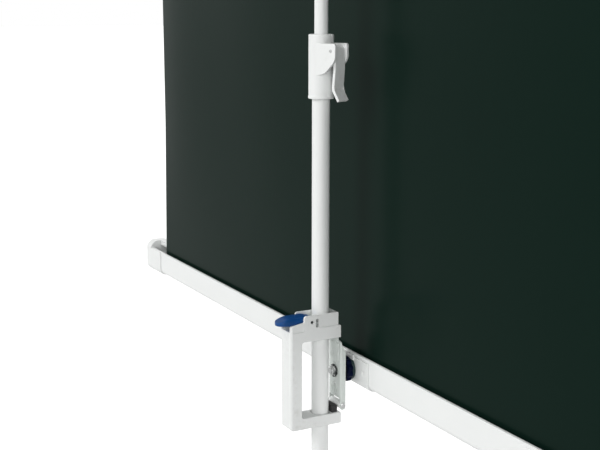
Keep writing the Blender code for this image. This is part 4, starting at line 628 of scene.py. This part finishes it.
def brake_lever():
    """A paddle lofted from rounded sections along the grip's top. Its nose is cut back to clear the shoe."""
    start, relief, heel, tip, half = 0.0179, 0.0187, 0.0206, 0.0715, 0.0118
    hair, narrowest, rounding = 0.0001, 0.0012, 0.011
    top = rounded([(start, 0.0640), (0.028, 0.0668, 0.010), (0.0565, 0.0668, 0.030), (tip, 0.0610)],
                  closed=False)
    under = rounded([(start, 0.0610), (relief, 0.0602), (relief + hair, 0.0570), (heel, 0.0505),
                     (0.033, 0.0526, 0.010), (0.0565, 0.0548, 0.030), (tip, 0.0560)], closed=False)
    count, around, squareness = 44, 36, 0.36
    along = [heel + (tip - heel) * (1 - (1 - k / count) ** 1.6) for k in range(count + 1)]
    rings = []
    for y in [start, relief, relief + hair, *(min(y, tip - 0.00002) for y in along)]:
        to_tip = (y - (tip - rounding)) / rounding
        wide = half * (math.sqrt(max(0.0, 1 - to_tip ** 2.4)) if to_tip > 0 else 1)
        wide = max(wide, narrowest)
        high, low = between(top, y), between(under, y)
        middle, tall = (high + low) / 2, (high - low) / 2
        crown = 0.0007 if y > 0.034 else 0
        ring = []
        for j in range(around):
            c, s = on_circle(math.tau * j / around)
            x = wide * math.copysign(abs(c) ** squareness, c)
            z = middle + tall * math.copysign(abs(s) ** squareness, s)
            ring.append((x, y, z - crown * (x / half) ** 2 * (s > 0)))
        rings.append(ring)
    body = shaped(rings_mesh(rings, capped=True), cuts=[rod(PIN, 0.031, LEVER_PIN, ALONG_X)])
    piece("brake_paddle", body, "blue_plastic", "brake_lever_body", "brake_lever", place=ON_MAST)


def brake_spring():
    """A coil under the paddle that its press squeezes."""
    low, high, radius, thick, turns, steps = 0.0477, 0.0524, 0.0032, 0.0004, 3, 24
    spots = []
    for k in range(turns * steps + 1):
        x, y = on_circle(math.tau * k / steps) * radius
        spots.append((x, 0.042 + y, low + (high - low) * k / (turns * steps)))
    coil = piece("brake_coil_spring", wire(spots, thick, 3), "steel", "carriage", "brake_spring",
                 place=ON_MAST)
    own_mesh(coil)


def bracket():
    """A pressed channel on the sleeve's front, and the spacer between its flanges."""
    half, front, foot, web_foot = 0.0175, -0.0327, -0.088, -0.0625
    path = rounded([(-half, front), (-half, WEB, 0.003), (half, WEB, 0.003), (half, front)], closed=False,
                   steps=8)
    body = placed(plate([strip(path, 0, -0.002)], 0.1295), at(0, 0, -0.01925))
    facing = at(0, WEB, 0, FACE_ON)
    face = placed(plate([rounded([(-0.0155, foot), (-0.0155, web_foot, 0.003), (0.0155, web_foot, 0.003),
                                  (0.0155, foot)])], 0.026), facing)
    shoulders = [placed(plate([rounded([
        (0.0087 * s, 0.0495), (0.0087 * s, 0.024, 0.001), (half * s, 0.024, 0.006), (half * s, 0.012),
        (0.0215 * s, 0.012), (0.0215 * s, 0.0495)])], 0.026), facing) for s in (-1, 1)]
    ends = placed(plate([rounded([
        (-0.0367, foot), (-0.020, foot), (-0.020, SPACER_Z), (WEB, SPACER_Z), (WEB, -0.080, 0.0039),
        (front, -0.080, 0.0039), (front, SPACER_Z), (-0.0367, SPACER_Z)])], 0.043), SIDE_ON)
    tops = placed(plate([rounded([
        (-0.0265, 0.040), (-0.0265, 0.018), (-0.0330, 0.006, 0.004), (-0.0367, 0.002), (-0.0367, 0.040)])],
        0.043), SIDE_ON)
    pivot = rod(BOLT, 0.026, (0, WEB, -PIVOT_DROP), ALONG_Y, FINE)
    rivet = rod(RIVET, 0.043, (0, SPACER_Y, SPACER_Z), ALONG_X)
    hole = rod(0.0022, 0.026, (0, WEB, -0.043), ALONG_Y)
    panel = box_mesh((-0.0125, -0.025, -0.006), (0.0125, -0.0228, 0.020), 0.00095)
    ribs = [box_mesh((x - 0.0010, -0.0245, -0.060), (x + 0.0010, -0.0231, -0.047), 0.0006)
            for x in (-0.0075, -0.0025, 0.0025, 0.0075)]
    screws = [rod(SCREW, 0.0087, (SCREW_X * s, WEB, SCREW_Z), ALONG_Y, 24) for s in (-1, 1)]
    body = shaped(body, [panel, *ribs], [face, *shoulders, ends, tops, pivot, rivet, hole, *screws])
    body = shaped(body, bevel=0.00035)
    # The grey-green grey_paint makes the bracket's white paint darker to stand for the shade behind the tube
    # and handle: painted shade, with the greenish tint the bracket's own.
    piece("bracket_channel", body, "grey_paint", "carriage", "pivot_bracket", place=ON_MAST)
    radius, end, edge = 0.0055, 0.0152, 0.0004
    spacer = lathe([(radius, end, edge), (radius, -end, edge), (RIVET, -end), (RIVET, end)], closed=True)
    piece("bracket_spacer_tube", spacer, "white_plastic", "carriage", "bracket_spacer",
          place=at(0, MAST_Y + SPACER_Y, RIM + SPACER_Z, ALONG_X))


def painted_shade_block():
    """A dark ribbed block on the lower arm, between the tube and the spacer, that stands in for the shade in
    the gap there: painted shade.
    """
    back, front, bottom, top, ribs, groove = -0.0133, -0.0222, -0.0836, -0.0732, 4, 0.0004
    side = [(back, bottom), (back, top)]
    for k in range(ribs):
        high = top - (top - bottom) * k / ribs
        low = top - (top - bottom) * (k + 1) / ribs
        side += [(front, high, 0.0006), (front, low + groove * 2, 0.0004), (front + 0.0009, low + groove)]
    side.append((front, bottom))
    body = placed(plate([rounded(side, steps=4)], 0.024, 0.0004), SIDE_ON)
    piece("painted_shade_block", body, "black_rubber", "carriage", place=ON_MAST)


def knob():
    radius, groove, lobes, steps, thick, edge = 0.0190, 0.0025, 10, 200, 0.0077, 0.0011
    outline = []
    for k in range(steps):
        angle = math.tau * k / steps
        dip = 0.5 + 0.5 * math.cos(angle * lobes)
        outline.append(on_circle(angle) * (radius - groove * dip ** 1.6))
    dish = lathe([(0.0075, 0.0045), (0.0140, 0.0045), (0.0128, 0.0026, 0.0006), (0.0085, 0.0026, 0.0006)],
                 closed=True)
    body = shaped(plate([outline, circle(BOLT)], thick, edge), cuts=[dish])
    place = at(0, MAST_Y - 0.038 - thick / 2, PIVOT_Z, FACE_ON @ Matrix.Rotation(math.pi, 4, "X"))
    piece("clamp_knob", body, "navy_plastic", "knob", "pivot_knob", place=place)


def locknut():
    radius, depth, teeth, steps, edge = 0.0095, 0.0013, 10, 144, 0.0004
    rim = []
    for k in range(steps):
        angle = math.tau * k / steps
        rim.append(on_circle(angle) * (radius - depth * max(0.0, math.cos(angle * teeth)) ** 2))
    flange = placed(plate([rim, circle(BOLT)], 0.0022, edge), at(0, 0, 0.0011))
    hexagon = placed(plate([circle(0.0070, steps=6), circle(BOLT)], 0.0040, edge), at(0, 0, 0.0036))
    collar = lathe([(0.0058, 0.0067, 0.0006), (0.0058, 0.0050), (BOLT, 0.0050), (BOLT, 0.0067, 0.0003)],
                   closed=True)
    # The flange's serrated rim outside the hexagon gets dark_steel, which paints in the shade of its recesses
    # (painted shade).
    made = two_tone(shaped(flange, [hexagon, collar]), "steel", "dark_steel",
                    lambda spot: math.hypot(spot.x, spot.y) > 0.0071)
    piece("locknut_flanged", made, "steel", "case", "pivot_locknut",
          place=at(0, MAST_Y + WEB + SEAT, PIVOT_Z, ALONG_Y), finished=True)


# Case, its section measured forward from the back face and up from the rim

DEEP, BOTTOM, FRONT_TOP, LIP = 0.052, -0.046, 0.011, 0.020
BACK_TURN, FRONT_TURN, TOP_TURN = 0.010, 0.018, 0.024
CASE_BODY = [(0, BOTTOM, BACK_TURN), (DEEP, BOTTOM, FRONT_TURN), (DEEP, FRONT_TOP, TOP_TURN)]


def section(points):
    return [Vector((CASE_BACK - p[0], RIM + p[1])) for p in points]


def rivet_bores():
    return [rod(RIVET, 0.010, (0.036 * s, CASE_BACK, RIM - 0.022), ALONG_Y) for s in (-1, 1)]


def case():
    path = rounded([(0.004, 0), (0, 0, 0.0017), *CASE_BODY, (LIP, FRONT_TOP, 0.0030), (LIP, 0.004)],
                   closed=False, steps=14)
    outline = strip(path, 0, 0.0016)
    hem_low = -0.0048
    hem = [Vector(spot) for spot in ((0, -0.0020), (-0.0003, -0.0023), (-0.0003, -0.0045), (0, hem_low))]
    below_hem = next(k for k, spot in enumerate(outline) if spot.y < hem_low)
    outline[below_hem:below_hem] = hem
    shell = placed(plate([section(outline)], 1.632), SIDE_ON)
    piece("case_sheet", shaped(shell, cuts=rivet_bores()), "white_paint", "case", "case_shell")
    end_cap(-1, "case_cap_left", "case_end_cap_1")
    end_cap(1, "case_cap_right", "case_end_cap_2")
    cradle()


def end_cap(side, name, node):
    """A domed cap whose pocket takes the end of the sheet."""
    wall, start, end, edge = 0.0025, 0.765, 0.842, 0.0005
    outline = section(rounded([
        (-wall, BOTTOM - wall, BACK_TURN + wall), (DEEP + wall, BOTTOM - wall, FRONT_TURN + wall),
        (DEEP + wall, FRONT_TOP + wall, TOP_TURN + wall), (-wall, FRONT_TOP + wall, 0.017)], steps=16))
    sample = offset(outline, 0.001, True)
    inward = 1 if max(p.x for p in sample) < max(p.x for p in outline) else -1
    dome, steps = 0.0046, 8
    stations = [(start, edge), (start + edge, 0)]
    for k in range(steps + 1):
        angle = math.pi / 2 * k / steps
        stations.append((end - dome * (1 - math.sin(angle)), dome * (1 - math.cos(angle))))
    rings = [[(x * side, p.x, p.y) for p in offset(outline, inset * inward, True)] for x, inset in stations]
    body = rings_mesh(rings, capped=True)
    past, pocket_end = 0.004, 0.816 + SEAT
    around = rounded([(0, 0), *CASE_BODY, (LIP, FRONT_TOP)], closed=False, steps=14)
    over, outside = FRONT_TOP + wall + past, -wall - past
    open_top = [Vector((LIP, over)), Vector((outside, over)), Vector((outside, 0))]
    length = pocket_end - start + past
    pocket = placed(plate([section(offset(around, -SEAT) + open_top)], length),
                    at((pocket_end - length / 2) * side, 0, 0, SIDE_ON))
    axle = rod(BOLT, 0.1226, (start * side, ROLLER_Y, ROLLER_Z), ALONG_X, FINE)
    piece(name, shaped(body, cuts=[pocket, axle]), "white_plastic", "case", node)


def cradle():
    """The sleeve that wraps the case at the pivot, with a boss behind the knob and a lug above it. The boss
    is coloured dark as the knob's shadow on it (painted shade).
    """
    path = rounded([(0, -0.005), (0, BOTTOM, BACK_TURN), (DEEP, BOTTOM, FRONT_TURN), (DEEP, -0.016)],
                   closed=False, steps=14)
    sheet, boss_radius = 0.0018, 0.0168
    body = placed(plate([section(strip(path, -SEAT, -SEAT - sheet))], 0.100), SIDE_ON)
    back = CASE_BACK + SEAT + sheet
    boss_back = MAST_Y - 0.046
    depth = boss_back - back + sheet / 2
    boss = placed(lathe([(0, depth / 2), (boss_radius, depth / 2, 0.0012), (boss_radius, -depth / 2),
                         (0, -depth / 2)]), at(0, boss_back - depth / 2, PIVOT_Z, ALONG_Y))
    lug = box_mesh((-0.013, back - 0.00045, RIM - 0.009), (0.013, MAST_Y - 0.0475, RIM - 0.001), 0.0007)
    head = rod(0.0083, 0.0076, (0, CASE_BACK + SEAT - 0.0002, PIVOT_Z), ALONG_Y, FINE)
    bolt = rod(BOLT, 0.041, (0, boss_back, PIVOT_Z), ALONG_Y, FINE)
    # The boss faces get dark_disc, the knob's shadow painted on the white boss (painted shade).
    made = two_tone(shaped(body, [boss, lug], [head, bolt, *rivet_bores()]), "white_paint", "dark_disc",
                    lambda spot: math.hypot(spot.x, spot.z - PIVOT_Z) < boss_radius + 0.0002
                    and spot.y > back + 0.00002)
    piece("case_sleeve", made, "white_paint", "case", "case_cradle", finished=True)


# Slat and loop

def slat():
    middle = (SLAT_LOW.z + SLAT_HIGH.z) / 2
    half = (SLAT_HIGH.x - SLAT_LOW.x) / 2
    outside = rectangle(0.011, 0.014, 0.006)
    body = placed(plate([outside, rectangle(0.0095, 0.0125, 0.0045)], half * 2),
                  at(0, FABRIC_Y, middle, SIDE_ON))
    past, groove_half, groove_deep = 0.004, 0.00055, 0.0018
    groove = box_mesh((-half - past, FABRIC_Y - groove_half, SLAT_LOW.z - groove_deep),
                      (half + past, FABRIC_Y + groove_half, SLAT_LOW.z + groove_deep))
    radius, loop_half = 0.0018, 0.022
    holes = [rod(radius + SEAT, 0.0036, (loop_half * s, FABRIC_Y, SLAT_HIGH.z), Matrix(), 24)
             for s in (-1, 1)]
    piece("slat_tube", shaped(body, cuts=[groove, *holes]), "white_paint", "slat", "top_slat")
    for side, node, name in ((-1, "slat_cap_1", "slat_end_left"), (1, "slat_cap_2", "slat_end_right")):
        cap = placed(plate([outside], 0.003, 0.0009),
                     at((half + SEAT + 0.0015) * side, FABRIC_Y, middle, SIDE_ON))
        spigot = placed(plate([rectangle(0.0092, 0.0122, 0.0042)], 0.015),
                        at((half - 0.006) * side, FABRIC_Y, middle, SIDE_ON))
        piece(name, shaped(cap, [spigot]), "blue_plastic", "slat", node)
    loop_low, loop_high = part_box("slat_loop")
    back, top, turn_radius, steps = MAST_Y - 0.0415, loop_high.z - radius, 0.006, 10
    side_view = rounded([(FABRIC_Y, loop_low.z), (FABRIC_Y, SLAT_HIGH.z + 0.010, turn_radius), (back, top)],
                        closed=False, steps=8)
    rise = [Vector((loop_half, p.x, p.y)) for p in side_view[:-1]]
    corner, after = Vector((loop_half, back, top)), Vector((-loop_half, back, top))
    start = corner + (rise[-1] - corner).normalized() * turn_radius
    end = corner + (after - corner).normalized() * turn_radius
    turn = [start * (1 - t) ** 2 + corner * 2 * t * (1 - t) + end * t ** 2
            for t in (k / steps for k in range(steps + 1))]
    half_loop = rise + turn
    spots = half_loop + [Vector((-p.x, p.y, p.z)) for p in half_loop[::-1]]
    piece("slat_wire_loop", wire(spots, radius), "steel", "slat", "slat_loop")


# Fabric

FABRIC_HALF = 0.758


def fabric():
    """One sheet from the roller to the slat: white in front with a black border, black behind."""
    half, thick, border, cells = FABRIC_HALF, 0.00045, 0.030, 60
    low, high = ROLLER_Z, SLAT_LOW.z + 0.013
    free_low, free_high = RIM + 0.012, SLAT_LOW.z - 0.001
    columns = sorted({-half, -half + border, half - border, half}
                     | {-half + border + (half - border) * 2 * k / cells for k in range(cells + 1)})
    first, last = free_low + 0.045, free_high - 0.060
    rows = [low, RIM - 0.008, free_low, *(first + (last - first) * k / cells for k in range(cells + 1)),
            free_high, high]

    def lie(x, z):
        """How far the sheet stands off its plane: slow waves that fade at its ends, and sides that curl."""
        share = min(1.0, max(0.0, (z - free_low) / 0.25)) * min(1.0, max(0.0, (free_high - z) / 0.25))
        waves = 0.0007 * math.sin(x * 9.0 + z * 2.1) + 0.0005 * math.sin(x * 17.0 - z * 3.3 + 1.2)
        side = max(0.0, (abs(x) - 0.60) / 0.158)
        return share * (waves - 0.0035 * side ** 3)

    mesh = bpy.data.meshes.new("sheet")
    work = bmesh.new()
    front, back = ([[work.verts.new((x, FABRIC_Y + away + lie(x, z), z)) for x in columns] for z in rows]
                   for away in (-thick / 2, thick / 2))
    wide, tall = len(columns), len(rows)
    in_front, at_border, behind = 0, 1, 2
    for r in range(tall - 1):
        for c in range(wide - 1):
            face = work.faces.new((front[r][c], front[r][c + 1], front[r + 1][c + 1], front[r + 1][c]))
            edge = abs(columns[c] + columns[c + 1]) / 2 > half - border or r < 3 or r > tall - 4
            face.material_index = at_border if edge else in_front
            face = work.faces.new((back[r][c], back[r + 1][c], back[r + 1][c + 1], back[r][c + 1]))
            face.material_index = behind
    outline = [(0, c) for c in range(wide)] + [(r, wide - 1) for r in range(1, tall)] \
        + [(tall - 1, c) for c in range(wide - 2, -1, -1)] + [(r, 0) for r in range(tall - 2, 0, -1)]
    for (r, c), (s, d) in zip(outline, outline[1:] + outline[:1]):
        face = work.faces.new((front[r][c], back[r][c], back[s][d], front[s][d]))
        face.material_index = behind
    bmesh.ops.recalc_face_normals(work, faces=work.faces)
    work.to_mesh(mesh)
    work.free()
    for finish in ("screen_front", "screen_border", "black_fabric"):
        mesh.materials.append(MATERIALS[finish])
    item = piece("screen_sheet", mesh, "black_fabric", None, "screen_fabric", finished=True)
    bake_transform(item)


def wraps():
    """The turns of fabric that stay on the roller."""
    inner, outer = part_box("roller_tube")[1].z - ROLLER_Z + SEAT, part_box("fabric_wraps")[1].z - ROLLER_Z
    turns, steps, thick = 1.6, 64, 0.00035
    count = int(turns * steps)
    near, far = [], []
    for k in range(count + 1):
        spot = on_circle(math.tau * k / steps)
        radius = outer - thick - (outer - inner - thick) * k / count
        near.append(spot * radius)
        far.append(spot * (radius + thick))
    loop = near + far[::-1]
    rings = [[(x, ROLLER_Y + p.x, ROLLER_Z + p.y) for p in loop] for x in (-FABRIC_HALF, FABRIC_HALF)]
    item = piece("screen_roll", rings_mesh(rings, capped=True), "black_fabric", "roller", "fabric_wraps")


# Stage and light

def stage():
    mesh = box_mesh((-FLOOR_HALF, -FLOOR_HALF, -0.02), (FLOOR_HALF, FLOOR_HALF, 0))
    floor = bpy.data.objects.new("studio_floor", mesh)
    bpy.context.scene.collection.objects.link(floor)
    finish = bpy.data.materials.new("studio_floor")
    finish.use_nodes = True
    tree = finish.node_tree
    shader = tree.nodes["Principled BSDF"]
    shader.inputs["Base Color"].default_value = (0.86, 0.86, 0.86, 1)
    shader.inputs["Roughness"].default_value = 1.0
    shader.inputs["Specular IOR Level"].default_value = 0.0
    shader.inputs["Emission Color"].default_value = (1, 1, 1, 1)
    path = tree.nodes.new("ShaderNodeLightPath")
    glow = tree.nodes.new("ShaderNodeMath")
    glow.operation = "MULTIPLY"
    glow.inputs[1].default_value = 0.42
    tree.links.new(path.outputs["Is Camera Ray"], glow.inputs[0])
    tree.links.new(glow.outputs["Value"], shader.inputs["Emission Strength"])
    mesh.materials.append(finish)


def lights():
    """A soft world that the camera and reflections see as white, and three wide lamps."""
    world = bpy.data.worlds.new("studio")
    bpy.context.scene.world = world
    world.use_nodes = True
    tree = world.node_tree
    tree.nodes.clear()
    path = tree.nodes.new("ShaderNodeLightPath")
    seen = path.outputs["Is Camera Ray"]
    for name in ("Is Glossy Ray", "Is Transmission Ray"):
        step = tree.nodes.new("ShaderNodeMath")
        step.operation = "MAXIMUM"
        tree.links.new(seen, step.inputs[0])
        tree.links.new(path.outputs[name], step.inputs[1])
        seen = step.outputs["Value"]
    mixed, out = tree.nodes.new("ShaderNodeMixShader"), tree.nodes.new("ShaderNodeOutputWorld")
    tree.links.new(seen, mixed.inputs[0])
    for socket, strength in ((1, 0.30), (2, 1.0)):
        light = tree.nodes.new("ShaderNodeBackground")
        light.inputs["Strength"].default_value = strength
        light.inputs["Color"].default_value = (1, 1, 1, 1)
        tree.links.new(light.outputs[0], mixed.inputs[socket])
    tree.links.new(mixed.outputs[0], out.inputs["Surface"])
    for name, towards, energy, spread in (("key", (-0.20, -0.85, -0.55), 1.5, 32),
                                          ("side", (0.81, -0.47, -0.34), 1.05, 50),
                                          ("front", (-0.35, 0.80, -0.60), 1.5, 60)):
        data = bpy.data.lights.new(name, "SUN")
        data.energy = energy
        data.angle = math.radians(spread)
        lamp = bpy.data.objects.new(name, data)
        bpy.context.scene.collection.objects.link(lamp)
        lamp.rotation_euler = Vector(towards).to_track_quat("-Z", "Y").to_euler()
    bpy.context.scene.view_settings.view_transform = "Standard"


photo_camera()
mast()
flip_lock()
handle()
brake_lever()
brake_spring()
bracket()
painted_shade_block()
knob()
locknut()
case()
slat()
fabric()
wraps()
replaced = {name for item in bpy.data.objects for name in item.get("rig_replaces", [])}
for node in frame["nodes"]:
    if node not in replaced:
        dress(node)
stage()
lights()
